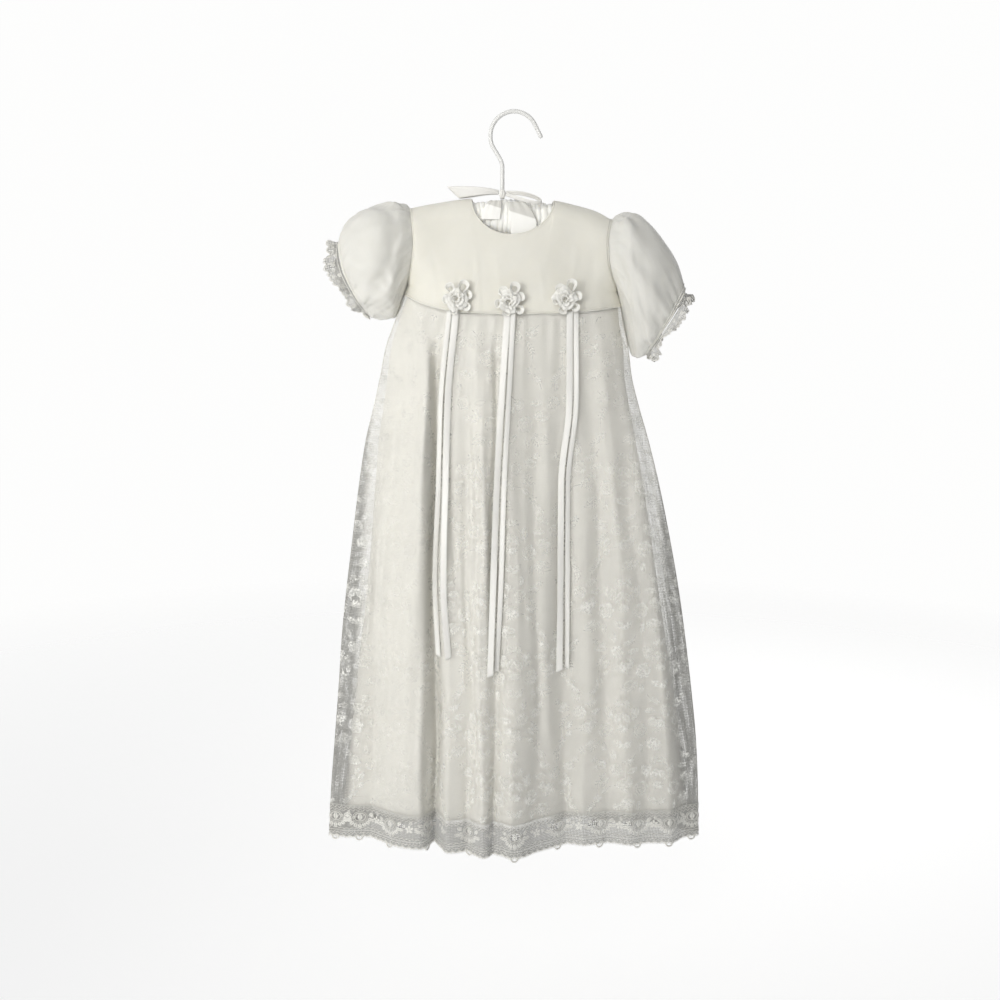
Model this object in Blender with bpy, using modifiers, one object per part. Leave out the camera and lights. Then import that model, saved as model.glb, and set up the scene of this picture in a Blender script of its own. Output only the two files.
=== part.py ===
"""Christening gown hanging on a small padded hanger.

Every size is in millimetres and becomes metres where a mesh is made. The origin is the inside top of
the hanger's hook, where a rod carries it. +X is to the right of someone facing the gown, the front
faces -Y, and +Z is up. Cloth is a shell: an open surface, thickened inwards by a Solidify modifier.
"""

import math

import bmesh
import bpy
import numpy as np

MM = 0.001
COLLECTION = "christening_gown"

# Seams and walls
SEAM_GAP = 0.4  # between two sewn edges
SIDE_SEAM_GAP = 0.8  # between the skirt's front and back, along the outside
CLOTH = 1.0  # wall of the skirt, lining, sleeves and lace
YOKE_CLOTH = 1.2  # wall of the yoke, which is cloth and facing
RIBBON = 0.8  # thickness of a satin ribbon
LIFT = 0.6  # clearance of what lies on a panel
TURN = 0.984  # share of the half width where a side line's round turn ends

# Heights of the gown, from the inside top of the hook
SEAM_Z = -187.5  # empire seam at the centre
SEAM_RISE = (20.0, 8.0)  # how far the seam rises to the left and right sides
HEM_Z = -728.0
LINING_HEM_Z = -691.0

# Widths of the gown: left and right side lines, x at each height
SIDE_LINES = (
    # z, left, right
    (-88.0, -98.0, 95.5),
    (-121.0, -94.5, 88.5),
    (-139.0, -96.5, 89.5),
    (-151.0, -99.0, 92.5),
    (-162.0, -103.0, 97.5),
    (-175.0, -107.5, 103.0),
    (-195.0, -115.5, 106.5),
    (-217.0, -124.0, 111.5),
    (-232.0, -127.5, 113.5),
    (-247.0, -130.5, 115.5),
    (-271.0, -136.0, 121.5),
    (-311.0, -146.0, 133.5),
    (-355.0, -153.5, 145.0),
    (-412.0, -161.5, 157.5),
    (-467.0, -169.0, 168.0),
    (-515.0, -174.5, 175.5),
    (-558.0, -178.0, 181.5),
    (-622.0, -184.0, 189.0),
    (-676.0, -189.0, 192.5),
    (-740.0, -193.0, 194.5),
)

# Line of the shoulders over the padded hanger
SHOULDER = (
    # x, z
    (-99.0, -88.0),
    (-75.0, -83.2),
    (-52.0, -79.7),
    (-39.0, -78.5),
    (0.0, -77.5),
    (39.0, -80.5),
    (61.0, -85.3),
    (78.0, -90.0),
    (96.0, -98.0),
)
NECK_HALF_WIDTH = 39.3
NECK_DROP_FRONT = 36.5
NECK_DROP_BACK = 10.0
UNDERARM_Z = (-160.0, -166.0)
ARMHOLE_HALF_DEPTH = 19.0
SHOULDER_ROLL = 16.5  # radius of the yoke where it rolls over the hanger
CHEST_REACH = 34.0  # half depth of the gown at the empire seam
BACK_REACH = 32.0
ROUNDING = 2.6  # exponent of the chest's section, between an ellipse and a box
YOKE_HALF = 98.0  # half width of the yoke's cut at the shoulders
YOKE_ROWS = (0.0, 0.025, 0.08, 0.16, 0.3, 0.52, 0.76, 1.0)

# Folds of the lace skirt, from the left side seam to the right one
FRONT_FOLDS = (
    # x at seam, x at hem, forward reach at hem
    (-107.0, -193.0, 7.0),
    (-101.0, -172.0, 9.0),
    (-96.0, -150.0, 8.0),
    (-90.0, -122.0, 27.0),
    (-84.0, -102.0, 36.0),
    (-74.0, -81.0, 24.0),
    (-64.0, -62.0, 44.0),
    (-49.0, -48.0, 43.0),
    (-34.0, -32.0, 56.0),
    (-20.0, -17.0, 49.0),
    (-4.0, 2.0, 56.0),
    (13.0, 20.0, 45.0),
    (28.0, 37.0, 34.5),
    (43.0, 57.0, 24.0),
    (57.0, 78.0, 26.0),
    (68.0, 99.0, 22.0),
    (79.0, 122.0, 26.0),
    (88.0, 143.0, 22.0),
    (95.0, 160.0, 22.5),
    (100.0, 177.0, 11.0),
    (103.0, 194.0, 7.0),
)
BACK_FOLDS = (
    # x at seam, x at hem, backward reach at hem
    (-107.0, -193.0, 7.0),
    (-98.0, -168.0, 14.0),
    (-86.0, -139.0, 33.0),
    (-74.0, -112.0, 24.0),
    (-58.0, -80.0, 43.0),
    (-42.0, -53.0, 33.0),
    (-24.0, -27.0, 50.0),
    (-6.0, -4.0, 37.0),
    (14.0, 24.0, 49.0),
    (32.0, 52.0, 34.0),
    (50.0, 82.0, 42.0),
    (66.0, 110.0, 25.0),
    (80.0, 138.0, 31.0),
    (94.0, 168.0, 13.0),
    (103.0, 194.0, 7.0),
)
FOLD_GROWTH = 0.6  # folds deepen fast below the seam
GATHERS = 16  # small gathers across each half of the skirt
GATHER_SIZE = 1.5

# Lace border: each repeat has an eye in it and a loop that hangs below the edge
REPEATS = 11  # across each half of the skirt
BORDER = (
    # share of a repeat, then heights above the hem: edge, loop's hole, eye
    (0.0, 4.6, 6.5, 9.5, 22.5, 29.5),
    (0.34, 5.6, 7.2, 9.5, 22.5, 29.5),
    (0.42, 1.2, 4.6, 7.6, 24.0, 28.0),
    (0.5, 0.0, 2.0, 9.0, 22.5, 29.5),
    (0.58, 1.2, 4.6, 7.6, 24.0, 28.0),
    (0.66, 5.6, 7.2, 9.5, 22.5, 29.5),
)
HOLE_COLUMN = 2  # both holes lie between the shares 0.42 and 0.58
BORDER_TOP = 36.0
LACE_ROWS_FRONT = (0.0, 0.025, 0.07, 0.15, 0.3, 0.5, 0.75, 1.0)
LACE_ROWS_BACK = (0.0, 0.03, 0.1, 0.3, 0.6, 1.0)
LINING_ROWS = (0.0, 0.08, 0.27, 0.51, 0.77, 1.0)
LINING_COLUMNS = 46
LINING_BEHIND = 4.2  # from the lace to the lining, front to back
LINING_INSET = (
    # z, how much narrower than the lace at each side
    (-160.0, 2.5),
    (-230.0, 6.0),
    (-350.0, 16.0),
    (-470.0, 21.0),
    (-575.0, 18.0),
    (-691.0, 14.0),
)

# Sleeves: rings from the armhole to the cuff; each has a top and a bottom point in the XZ plane
LEFT_SLEEVE = (
    # top x, top z, bottom x, bottom z, half depth
    (-107.0, -83.0, -111.6, -183.0, 30.0),
    (-122.0, -82.0, -117.0, -194.0, 37.0),
    (-143.0, -87.0, -131.0, -192.0, 38.0),
    (-161.0, -99.0, -137.0, -192.0, 33.0),
    (-168.0, -119.0, -139.0, -189.0, 24.0),
)
RIGHT_SLEEVE = (
    (102.5, -93.0, 106.0, -187.0, 30.0),
    (113.0, -90.5, 111.0, -209.0, 36.0),
    (135.0, -101.0, 114.8, -229.0, 38.0),
    (155.5, -134.0, 121.0, -232.0, 34.0),
    (166.5, -167.0, 129.0, -226.0, 24.0),
)
LEFT_LACE_RING = (-178.5, -121.0, -144.0, -191.0, 29.0)
RIGHT_LACE_RING = (174.0, -174.0, 137.0, -231.0, 29.0)
LACE_BULGE = (11.0, -3.0)  # how far each lace edge swings out in front and behind
CUFF_BULGE = (6.0, 0.0)  # the same for the cuff
RING_PLACES = (0.0, 0.16, 0.44, 0.63, 0.81, 1.0)  # the armhole's, then those of the rings above
ARMHOLE_GAP = 1.4  # from the yoke's edge to the sleeve head
SLEEVE_ROWS = (0.0, 0.1, 0.25, 0.42, 0.62, 0.82, 1.0)
SLEEVE_GATHERS = 9
SLEEVE_GATHER_SIZE = 1.1
CUFF_WAVES = 11
CUFF_WAVE_SIZE = 2.6
CUFF_GAP = 0.8  # from the cuff to its lace

# Rosettes on the empire seam, and two ribbon tails under each
ROSETTES = (
    # name, x, z
    ("left", -53.6, -170.9),
    ("centre", -3.9, -173.7),
    ("right", 49.5, -170.9),
)
ROSETTE_SIZE = (27.0, 8.0, 32.0)
ROSETTE_PETALS = 5
ROSETTE_LOBES, ROSETTE_SWIRL = 0.13, 0.12  # how far the petals stand out, as shares of its size
TAIL_TOP_Z = -189.5
TAIL_LIFT = 0.9
TAILS = (
    # name, width, x at top, x at z -270, x at z -350, x at z -450, x at end, z of end
    ("left_wide", 6.0, -55.5, -63.0, -65.8, -68.3, -64.0, -522.6),
    ("left_narrow", 4.5, -61.6, -70.0, -72.8, -77.5, -74.5, -521.6),
    ("centre_wide", 6.0, -6.5, -12.0, -16.2, -20.0, -23.0, -537.3),
    ("centre_narrow", 4.5, -1.0, -5.2, -9.4, -12.6, -16.6, -533.2),
    ("right_wide", 6.0, 52.5, 53.0, 45.8, 46.0, 45.6, -538.0),
    ("right_narrow", 4.5, 58.5, 59.5, 52.6, 53.0, 53.5, -536.0),
)
TAIL_STEPS = 15

# Back fastening
BUTTON_ZS = (-97.0, -133.0, -169.0)
BUTTON_RADIUS = 4.5
BUTTON_THICKNESS = 2.4
LAP = 9.0  # the left back reaches this far past the centre, and so does the right back under it

# Hanger
WIRE_RADIUS = 2.0
HOOK_RADIUS = 22.4  # to the middle of the wire
HOOK_TIP_ANGLE, HOOK_END_ANGLE = 27.0, 188.0  # degrees that the round part spans
HOOK_TIP_LENGTH = 12.0
HOOK_STEPS = 14
SHANK_X = -11.0
SHANK_BEND_Z = -49.0  # the bend between hook and shank ends here
SHANK_STEPS = 8
SHANK_GAP = 0.5  # from the shank's foot to the padding
PAD_ENDS = (-85.0, 80.0)
PAD_RISE, PAD_RISE_WIDTH = 2.2, 24.0  # the padding stands higher in the open neck
PAD_RADIUS = 13.2
PAD_BELLY, PAD_BELLY_WIDTH = 0.9, 44.0  # the padding hangs this much further below its middle
PAD_BELOW_YOKE = 2.4  # from the yoke's inside to the padding
PAD_PLEATS = 17
PAD_PLEAT_DEPTH = 0.7
PAD_SIDES = 10

# Bow of wide ribbon at the foot of the hook: loops are placed from the knot
KNOT = (SHANK_X, -7.1, -74.8)
KNOT_SIZE = (6.0, 7.2, 9.2)
BOW_LOOP_LEFT = (
    # x, y, z, half width
    (-3.5, -1.5, 1.5, 2.2),
    (-16.0, -5.0, 3.0, 4.0),
    (-34.0, -5.5, 2.4, 4.6),
    (-50.0, -3.0, 1.4, 5.0),
    (-53.5, 1.0, 1.0, 5.2),
    (-47.0, 4.2, 1.2, 5.0),
    (-30.0, 3.0, 2.0, 4.6),
    (-14.0, 0.8, 2.4, 3.8),
    (-3.5, 0.4, 1.5, 2.2),
)
BOW_LOOP_RIGHT = (
    (3.5, -0.6, 0.5, 2.2),
    (15.0, -3.0, -1.0, 3.4),
    (27.0, -7.0, -4.6, 4.0),
    (36.0, -9.5, -8.0, 4.2),
    (38.0, -12.0, -9.4, 4.2),
    (33.0, -14.0, -8.6, 4.2),
    (22.0, -12.5, -5.4, 4.0),
    (11.0, -7.5, -2.4, 3.6),
    (3.5, -2.6, 0.2, 2.2),
)
BOW_TAIL_Y = -15.7  # in front of the padding
BOW_TAIL_LEFT = (
    # x, z, half width
    (-17.5, -82.0, 5.5),
    (-20.0, -90.0, 8.0),
    (-21.5, -99.0, 9.0),
    (-22.0, -104.0, 9.0),
)
BOW_TAIL_RIGHT = (
    (2.5, -83.5, 8.0),
    (6.5, -92.0, 11.0),
    (9.0, -102.0, 12.5),
    (9.5, -113.5, 12.5),
)


def lerp(a, b, t):
    return a + (b - a) * t


def smoothstep(t):
    t = np.clip(t, 0.0, 1.0)
    return t * t * (3.0 - 2.0 * t)


def smooth_line(xs, ys, x):
    """Reads a smooth curve through the points, flat at each high and low point."""
    xs, ys, x = (np.asarray(v, float) for v in (xs, ys, x))
    step = np.diff(xs)
    slope = np.diff(ys) / step
    tangent = np.zeros(len(xs))
    same = slope[:-1] * slope[1:] > 0
    weight = np.where(same, slope[:-1] + slope[1:], 1.0)
    tangent[1:-1] = np.where(same, 2.0 * slope[:-1] * slope[1:] / weight, 0.0)
    tangent[0], tangent[-1] = slope[0], slope[-1]
    i = np.clip(np.searchsorted(xs, x) - 1, 0, len(step) - 1)
    t = np.clip((x - xs[i]) / step[i], 0.0, 1.0)
    t2, t3 = t * t, t * t * t
    return (
        ys[i] * (2 * t3 - 3 * t2 + 1)
        + step[i] * tangent[i] * (t3 - 2 * t2 + t)
        + ys[i + 1] * (3 * t2 - 2 * t3)
        + step[i] * tangent[i + 1] * (t3 - t2)
    )


def side_x(z, side):
    """x of the gown's left (0) or right (1) side line at height z."""
    heights = [-row[0] for row in SIDE_LINES]
    return smooth_line(heights, [row[1 + side] for row in SIDE_LINES], -np.asarray(z, float))


def across(x, z):
    """How far x is from the middle of the gown at height z: -1 and 1 are the side lines."""
    left, right = side_x(z, 0), side_x(z, 1)
    return (x - (left + right) / 2) / ((right - left) / 2)


def place_x(u, z, inset=0.0):
    """x of a column at height z; the last columns run straight back along the side line."""
    left, right = float(side_x(z, 0)) + inset, float(side_x(z, 1)) - inset
    return lerp(left, right, (float(np.clip(u / TURN, -1.0, 1.0)) + 1) / 2)


def section(u):
    """Depth of the chest's section, from 1 at the middle to 0 at the side lines."""
    return np.clip(1.0 - np.abs(u) ** ROUNDING, 0.0, 1.0) ** (1.0 / ROUNDING)


def side_turn(u):
    """Closes the skirt's section with a round turn just inside each side line."""
    return np.sqrt(np.clip(1.0 - np.abs(u) ** 12, 0.0, 1.0))


def seam_z(u):
    rise = np.where(u < 0, SEAM_RISE[0], SEAM_RISE[1])
    return SEAM_Z + rise * np.abs(u) ** 3


def spread(z):
    """0 at the empire seam's width and 1 at the hem's, following the side lines."""
    width = side_x(z, 1) - side_x(z, 0)
    top = side_x(SEAM_Z, 1) - side_x(SEAM_Z, 0)
    bottom = side_x(HEM_Z, 1) - side_x(HEM_Z, 0)
    return np.clip((width - top) / (bottom - top), 0.0, 1.0)


def skirt_reach(folds, chest, x, z):
    """Distance of the lace skirt from the plane of its side seams, at one point."""
    lines = list(folds)
    f = float(spread(z))
    grown = float(np.clip((SEAM_Z - z) / (SEAM_Z - HEM_Z), 0.0, 1.0)) ** FOLD_GROWTH
    places = [lerp(row[0], row[1], f) for row in lines]
    places[0], places[-1] = float(side_x(z, 0)), float(side_x(z, 1))
    at_seam = [chest * float(section(float(across(row[0], SEAM_Z)))) for row in lines]
    reaches = [lerp(top, row[2], grown) for top, row in zip(at_seam, lines)]
    return float(smooth_line(places, reaches, x))


def gather(u, below):
    """Small gathers that fade out over the first stretch below the seam."""
    fade = smoothstep(below / 8.0) * np.exp(-np.clip(below - 8.0, 0.0, None) / 55.0)
    return GATHER_SIZE * fade * math.cos(math.pi * GATHERS * u) * float(section(u))


def lace_point(half, u, z):
    """Point of the lace skirt: half is -1 for the front and 1 for the back."""
    folds, chest = (FRONT_FOLDS, CHEST_REACH) if half < 0 else (BACK_FOLDS, BACK_REACH)
    x = place_x(u, z)
    reach = skirt_reach(folds, chest, x, z) + gather(u, float(seam_z(u)) - z)
    reach = reach * float(side_turn(u)) + SIDE_SEAM_GAP / 2
    return x, half * reach, z


def lining_point(half, u, z):
    folds, chest = (FRONT_FOLDS, CHEST_REACH) if half < 0 else (BACK_FOLDS, BACK_REACH)
    inset = float(smooth_line([-r[0] for r in LINING_INSET], [r[1] for r in LINING_INSET], -z))
    x = place_x(u, z, inset)
    reach = (skirt_reach(folds, chest, x, z) - LINING_BEHIND) * float(side_turn(u))
    return x, half * (reach + SIDE_SEAM_GAP / 2), z


def shoulder_z(x):
    return float(smooth_line([row[0] for row in SHOULDER], [row[1] for row in SHOULDER], x))


def armhole_span(side):
    """Middle height and half height of the left (0) or right (1) armhole."""
    tip = (SHOULDER[0], SHOULDER[-1])[side][1]
    return (tip + UNDERARM_Z[side]) / 2, (tip - UNDERARM_Z[side]) / 2


def armhole_half_depth(side, z):
    middle, half = armhole_span(side)
    return ARMHOLE_HALF_DEPTH * math.sqrt(max(0.0, 1.0 - ((z - middle) / half) ** 2))


def yoke_point(half, u, z, lift=0.0):
    """Point of the yoke's outer surface at height z, or lift outside it."""
    x = place_x(u, z)
    below = max(0.0, shoulder_z(x) - z)
    roll = math.sqrt(max(0.0, 1.0 - (1.0 - min(below / SHOULDER_ROLL, 1.0)) ** 2))
    chest = CHEST_REACH if half < 0 else BACK_REACH
    growth = (chest - SHOULDER_ROLL) * float(smoothstep((below - 8.0) / 90.0))
    edge = armhole_half_depth(0 if u < 0 else 1, z) * abs(u) ** 6
    reach = (SHOULDER_ROLL * roll + growth) * float(section(u)) * float(side_turn(u)) + edge
    turned_in = YOKE_CLOTH * 0.4 * math.exp(-below / 3.0)
    return x, half * (reach + SEAM_GAP / 2 + turned_in + lift), z


def neck_z(x, drop):
    inside = 1.0 - (x / NECK_HALF_WIDTH) ** 2
    return shoulder_z(x) - (drop * math.sqrt(inside) if inside > 0 else 0.0)


def front_y(x, z):
    """y of the gown's front at one point: the yoke above the empire seam, the lace below it."""
    u = float(np.clip(across(x, z), -0.98, 0.98))
    return yoke_point(-1, u, z)[1] if z > float(seam_z(u)) else lace_point(-1, u, z)[1]


def material(name, colour, roughness):
    made = bpy.data.materials.new(name)
    made.use_nodes = True
    shader = made.node_tree.nodes["Principled BSDF"]
    shader.inputs["Base Color"].default_value = (*colour, 1.0)
    shader.inputs["Roughness"].default_value = roughness
    shader.inputs["Metallic"].default_value = 0.0
    return made


def add_mesh(name, points, faces, finish):
    mesh = bpy.data.meshes.new(name)
    mesh.from_pydata([tuple(c * MM for c in p) for p in points], [], faces)
    mesh.update()
    mesh.shade_smooth()
    mesh.materials.append(finish)
    made = bpy.data.objects.new(name, mesh)
    bpy.data.collections[COLLECTION].objects.link(made)
    return made


def add_shape(name, shape, finish):
    """Makes a finished bmesh an object, with its faces pointing out."""
    bmesh.ops.recalc_face_normals(shape, faces=shape.faces)
    mesh = bpy.data.meshes.new(name)
    shape.to_mesh(mesh)
    shape.free()
    mesh.shade_smooth()
    mesh.materials.append(finish)
    bpy.data.collections[COLLECTION].objects.link(bpy.data.objects.new(name, mesh))


def shell(name, grid, thickness, finish, wraps=False, holes=()):
    """A wall from rows of points: rows run down and columns run to the right, seen from outside."""
    rows, columns = len(grid), len(grid[0])
    points = [point for row in grid for point in row]
    faces = []
    for r in range(rows - 1):
        for c in range(columns if wraps else columns - 1):
            if (r, c) in holes:
                continue
            d = (c + 1) % columns
            faces.append((r * columns + c, (r + 1) * columns + c, (r + 1) * columns + d, r * columns + d))
    made = add_mesh(name, points, faces, finish)
    wall = made.modifiers.new("wall", "SOLIDIFY")
    wall.thickness = thickness * MM
    wall.offset = -1.0
    return made


def strip(name, centres, half_widths, thickness, finish):
    """A ribbon: one face wide, along its centre line."""
    grid = [
        [tuple(np.subtract(p, w)), tuple(np.add(p, w))]
        for p, w in zip(centres, half_widths)
    ]
    return shell(name, grid, thickness, finish)


def across_places(shares):
    """Shares of the way across, 0 to 1, as places from -1 to 1, closer near the side lines."""
    return [lerp(2 * share - 1, -math.cos(math.pi * share), 0.5) for share in shares]


def even_shares(columns):
    return [i / columns for i in range(columns + 1)]


def build_skirt_lace(half, name, rows, finish):
    per_repeat = len(BORDER)
    columns = per_repeat * REPEATS
    by_repeat = [(r + row[0]) / REPEATS for r in range(REPEATS) for row in BORDER] + [1.0]
    by_repeat[1], by_repeat[-2] = 1 / columns, 1 - 1 / columns
    grid = []
    for q in rows:
        row = []
        for u in across_places(even_shares(columns)):
            top = float(seam_z(u)) - SEAM_GAP / 2
            row.append(lace_point(half, u, lerp(top, HEM_Z + BORDER_TOP, q)))
        grid.append(row)
    for k in range(len(BORDER[0]) - 1, 0, -1):
        heights = [BORDER[i % per_repeat][k] for i in range(columns + 1)]
        places = across_places(by_repeat)
        grid.append([lace_point(half, u, HEM_Z + height) for u, height in zip(places, heights)])
    hole_starts = [r * per_repeat + HOLE_COLUMN for r in range(REPEATS)]
    hole_columns = [c for start in hole_starts for c in (start, start + 1)]
    if half > 0:
        grid = [row[::-1] for row in grid]
        hole_columns = [columns - 1 - c for c in hole_columns]
    eyes, loops = len(rows), len(rows) + 2
    shell(name, grid, CLOTH, finish, holes={(r, c) for c in hole_columns for r in (eyes, loops)})


def build_skirt_lining(half, name, finish):
    grid = []
    for q in LINING_ROWS:
        row = []
        for u in across_places(even_shares(LINING_COLUMNS)):
            top = float(seam_z(0.95 * u)) - SEAM_GAP
            row.append(lining_point(half, u, lerp(top, LINING_HEM_Z, q)))
        grid.append(row if half < 0 else row[::-1])
    shell(name, grid, CLOTH, finish)


def yoke_columns(from_x, to_x):
    """x places across the yoke, close together at the neck's steep ends."""
    near = NECK_HALF_WIDTH
    left = (-YOKE_HALF * TURN, -91, -80, -67, -54, -44, -near, -38.8, -36.5, -31, -22, -11, 0)
    both = sorted(set(left) | {-x for x in left})
    inside = [x for x in both if from_x < x < to_x]
    return [from_x] + inside + [to_x]


def no_lift(x):
    return 0.0


def yoke_grid(half, drop, from_x, to_x, lift_at=no_lift):
    """Rows from the neck and shoulder down to the empire seam, between two x places at the top."""
    grid = []
    for q in YOKE_ROWS:
        row = []
        for x_top in yoke_columns(from_x, to_x):
            u = x_top / YOKE_HALF
            top = neck_z(x_top, drop)
            bottom = float(seam_z(u)) + SEAM_GAP / 2 + 0.3 * YOKE_CLOTH
            z = lerp(top, bottom, q)
            row.append(yoke_point(half, u, z, lift_at(x_top)))
        grid.append(row if half < 0 else row[::-1])
    return grid


def lap_lift(x):
    """Lifts the left back over the right one, near the centre."""
    return (YOKE_CLOTH + LIFT) * float(smoothstep((x + 2 * LAP) / 7.0))


def build_yoke(finish):
    front = yoke_grid(-1, NECK_DROP_FRONT, -YOKE_HALF, YOKE_HALF)
    left = yoke_grid(1, NECK_DROP_BACK, -YOKE_HALF, LAP, lap_lift)
    right = yoke_grid(1, NECK_DROP_BACK, -LAP, YOKE_HALF)
    shell("bodice_front", front, YOKE_CLOTH, finish)
    shell("bodice_back_left", left, YOKE_CLOTH, finish)
    shell("bodice_back_right", right, YOKE_CLOTH, finish)


def build_buttons(finish):
    """Flat round buttons on the overlapping back panel."""
    for n, z in enumerate(BUTTON_ZS, 1):
        back = max(yoke_point(1, u, z + dz)[1] for u in (-0.05, 0.0, 0.05) for dz in (-5, 0, 5))
        y = back + YOKE_CLOTH + 2 * LIFT + BUTTON_THICKNESS / 2
        bpy.ops.mesh.primitive_cylinder_add(
            vertices=16, radius=BUTTON_RADIUS * MM, depth=BUTTON_THICKNESS * MM,
            location=(0.0, y * MM, z * MM), rotation=(math.pi / 2, 0.0, 0.0),
        )
        made = bpy.context.object
        made.name = made.data.name = f"button_{n}"
        made.data.materials.append(finish)
        for owner in made.users_collection:
            owner.objects.unlink(made)
        bpy.data.collections[COLLECTION].objects.link(made)


def ring_point(ring, angle):
    """Point of an oval ring: angle 0 is its top, a quarter turn is its front."""
    top_x, top_z, bottom_x, bottom_z, half_depth = ring
    middle = np.array(((top_x + bottom_x) / 2, 0.0, (top_z + bottom_z) / 2))
    up = np.array(((top_x - bottom_x) / 2, 0.0, (top_z - bottom_z) / 2))
    front = np.array((0.0, -half_depth, 0.0))
    return middle + up * math.cos(angle) + front * math.sin(angle)


def armhole_point(side, angle, out):
    """Point of the sleeve head's edge, out past the yoke's armhole."""
    middle, half = armhole_span(side)
    z = middle + half * math.cos(angle)
    sign = (-1.0, 1.0)[side]
    return np.array((float(side_x(z, side)) + sign * out, -ARMHOLE_HALF_DEPTH * math.sin(angle), z))


def along_sleeve(side, rings, angle, t):
    """Smooth line from the armhole, t 0, to the cuff, t 1, at one angle round the arm."""
    places = [armhole_point(side, angle, ARMHOLE_GAP)] + [ring_point(ring, angle) for ring in rings]
    return np.array([float(smooth_line(RING_PLACES, [p[k] for p in places], t)) for k in range(3)])


def ring_centre(ring):
    return (ring_point(ring, 0.0) + ring_point(ring, math.pi)) / 2


def cuff_axis(cuff, edge):
    """Direction in which the arm leaves the cuff."""
    along = ring_centre(edge) - ring_centre(cuff)
    return along / np.linalg.norm(along)


def sleeve_point(side, rings, edge, angle, t, wave=0.0):
    place = along_sleeve(side, rings, angle, t)
    opposite = along_sleeve(side, rings, angle + math.pi, t)
    outward = (place - opposite) / np.linalg.norm(place - opposite)
    bulge = CUFF_BULGE[side] * math.sin(angle) ** 2 * float(smoothstep((t - 0.5) / 0.5))
    return place + outward * wave + cuff_axis(rings[-1], edge) * bulge


def build_sleeve(side, name, rings, edge, finish):
    count = 4 * SLEEVE_GATHERS
    grid = []
    for t in SLEEVE_ROWS:
        near_edge = math.exp(-(t / 0.22) ** 2) * (0.4 + 6.0 * t) + math.exp(-((1 - t) / 0.2) ** 2)
        row = []
        for i in range(count):
            angle = 2 * math.pi * i / count
            wave = SLEEVE_GATHER_SIZE * min(near_edge, 1.0) * math.cos(SLEEVE_GATHERS * angle)
            row.append(tuple(sleeve_point(side, rings, edge, angle, t, wave)))
        grid.append(row if side == 0 else row[::-1])
    shell(name, grid, CLOTH, finish, wraps=True)


def build_cuff_lace(name, cuff, edge, side, finish):
    """Gathered edging that starts just past the cuff and flares in waves."""
    bulge = LACE_BULGE[side]
    count = 4 * CUFF_WAVES
    edge_centre = ring_centre(edge)
    axis = cuff_axis(cuff, edge)
    grid = []
    for t in (0.0, 0.45, 1.0):
        row = []
        for i in range(count):
            angle = 2 * math.pi * i / count
            start = ring_point(cuff, angle) + axis * (CUFF_GAP + CUFF_BULGE[side] * math.sin(angle) ** 2)
            end = ring_point(edge, angle)
            outward = (end - edge_centre) / np.linalg.norm(end - edge_centre)
            end = end + axis * bulge * math.sin(angle) ** 2
            wave = CUFF_WAVE_SIZE * t * math.cos(CUFF_WAVES * angle)
            place = lerp(start, end, t) + outward * wave - axis * abs(wave) * 0.5 * t
            row.append(tuple(place))
        grid.append(row if side == 0 else row[::-1])
    shell(name, grid, CLOTH, finish, wraps=True)


def build_rosette(name, x, z, finish):
    """A ribbon rose as a lobed dome with a flat back, standing on the seam."""
    width, depth, height = ROSETTE_SIZE
    corners = [(sx, sz) for sx in (-1, -0.5, 0, 0.5, 1) for sz in (-1, -0.5, 0, 0.5, 1)]
    back = min(front_y(x + sx * width / 2, z + sz * height / 2) for sx, sz in corners) - LIFT
    shape = bmesh.new()
    bmesh.ops.create_uvsphere(shape, u_segments=20, v_segments=9, radius=1.0)
    for vertex in shape.verts:
        a, b, c = vertex.co
        angle, out = math.atan2(b, a), math.hypot(a, b)
        lobes = 1.0 + ROSETTE_LOBES * math.cos(ROSETTE_PETALS * angle + 4.0 * c) * out
        swirl = ROSETTE_SWIRL * math.cos(3 * angle - 7.0 * out)
        forward = depth * (0.82 * max(c, 0.0) + swirl * max(c, 0.0)) + 1.2 * (c > -0.5)
        vertex.co = (
            (x + a * lobes * width / 2.3) * MM,
            (back - forward) * MM,
            (z + b * lobes * height / 2.3) * MM,
        )
    add_shape(name, shape, finish)


def build_tail(name, width, places, finish):
    """A ribbon that hangs straight down over the folds, just clear of the lace."""
    top_x, x_270, x_350, x_450, end_x, end_z = places
    heights = (-TAIL_TOP_Z, 270.0, 350.0, 450.0, -end_z)
    centres, sides = [], []
    for i in range(TAIL_STEPS + 1):
        z = lerp(TAIL_TOP_Z, end_z, i / TAIL_STEPS)
        x = float(smooth_line(heights, (top_x, x_270, x_350, x_450, end_x), -z))
        near = [x + d * width for d in (-1.2, -0.8, -0.4, 0.0, 0.4, 0.8, 1.2)]
        y = min(front_y(n, z + dz) for n in near for dz in (-10.0, 0.0, 10.0)) - TAIL_LIFT - RIBBON
        centres.append((x, y, z))
        sides.append((width / 2, 0.0, 0.0))
    strip(f"tail_{name}", centres, sides, RIBBON, finish)


def wire(name, points, radius, finish):
    curve = bpy.data.curves.new(name, "CURVE")
    curve.dimensions = "3D"
    curve.bevel_depth = radius * MM
    curve.bevel_resolution = 2
    curve.use_fill_caps = True
    line = curve.splines.new("POLY")
    line.points.add(len(points) - 1)
    for point, place in zip(line.points, points):
        point.co = (*(c * MM for c in place), 1.0)
    curve.materials.append(finish)
    made = bpy.data.objects.new(name, curve)
    bpy.data.collections[COLLECTION].objects.link(made)


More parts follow.
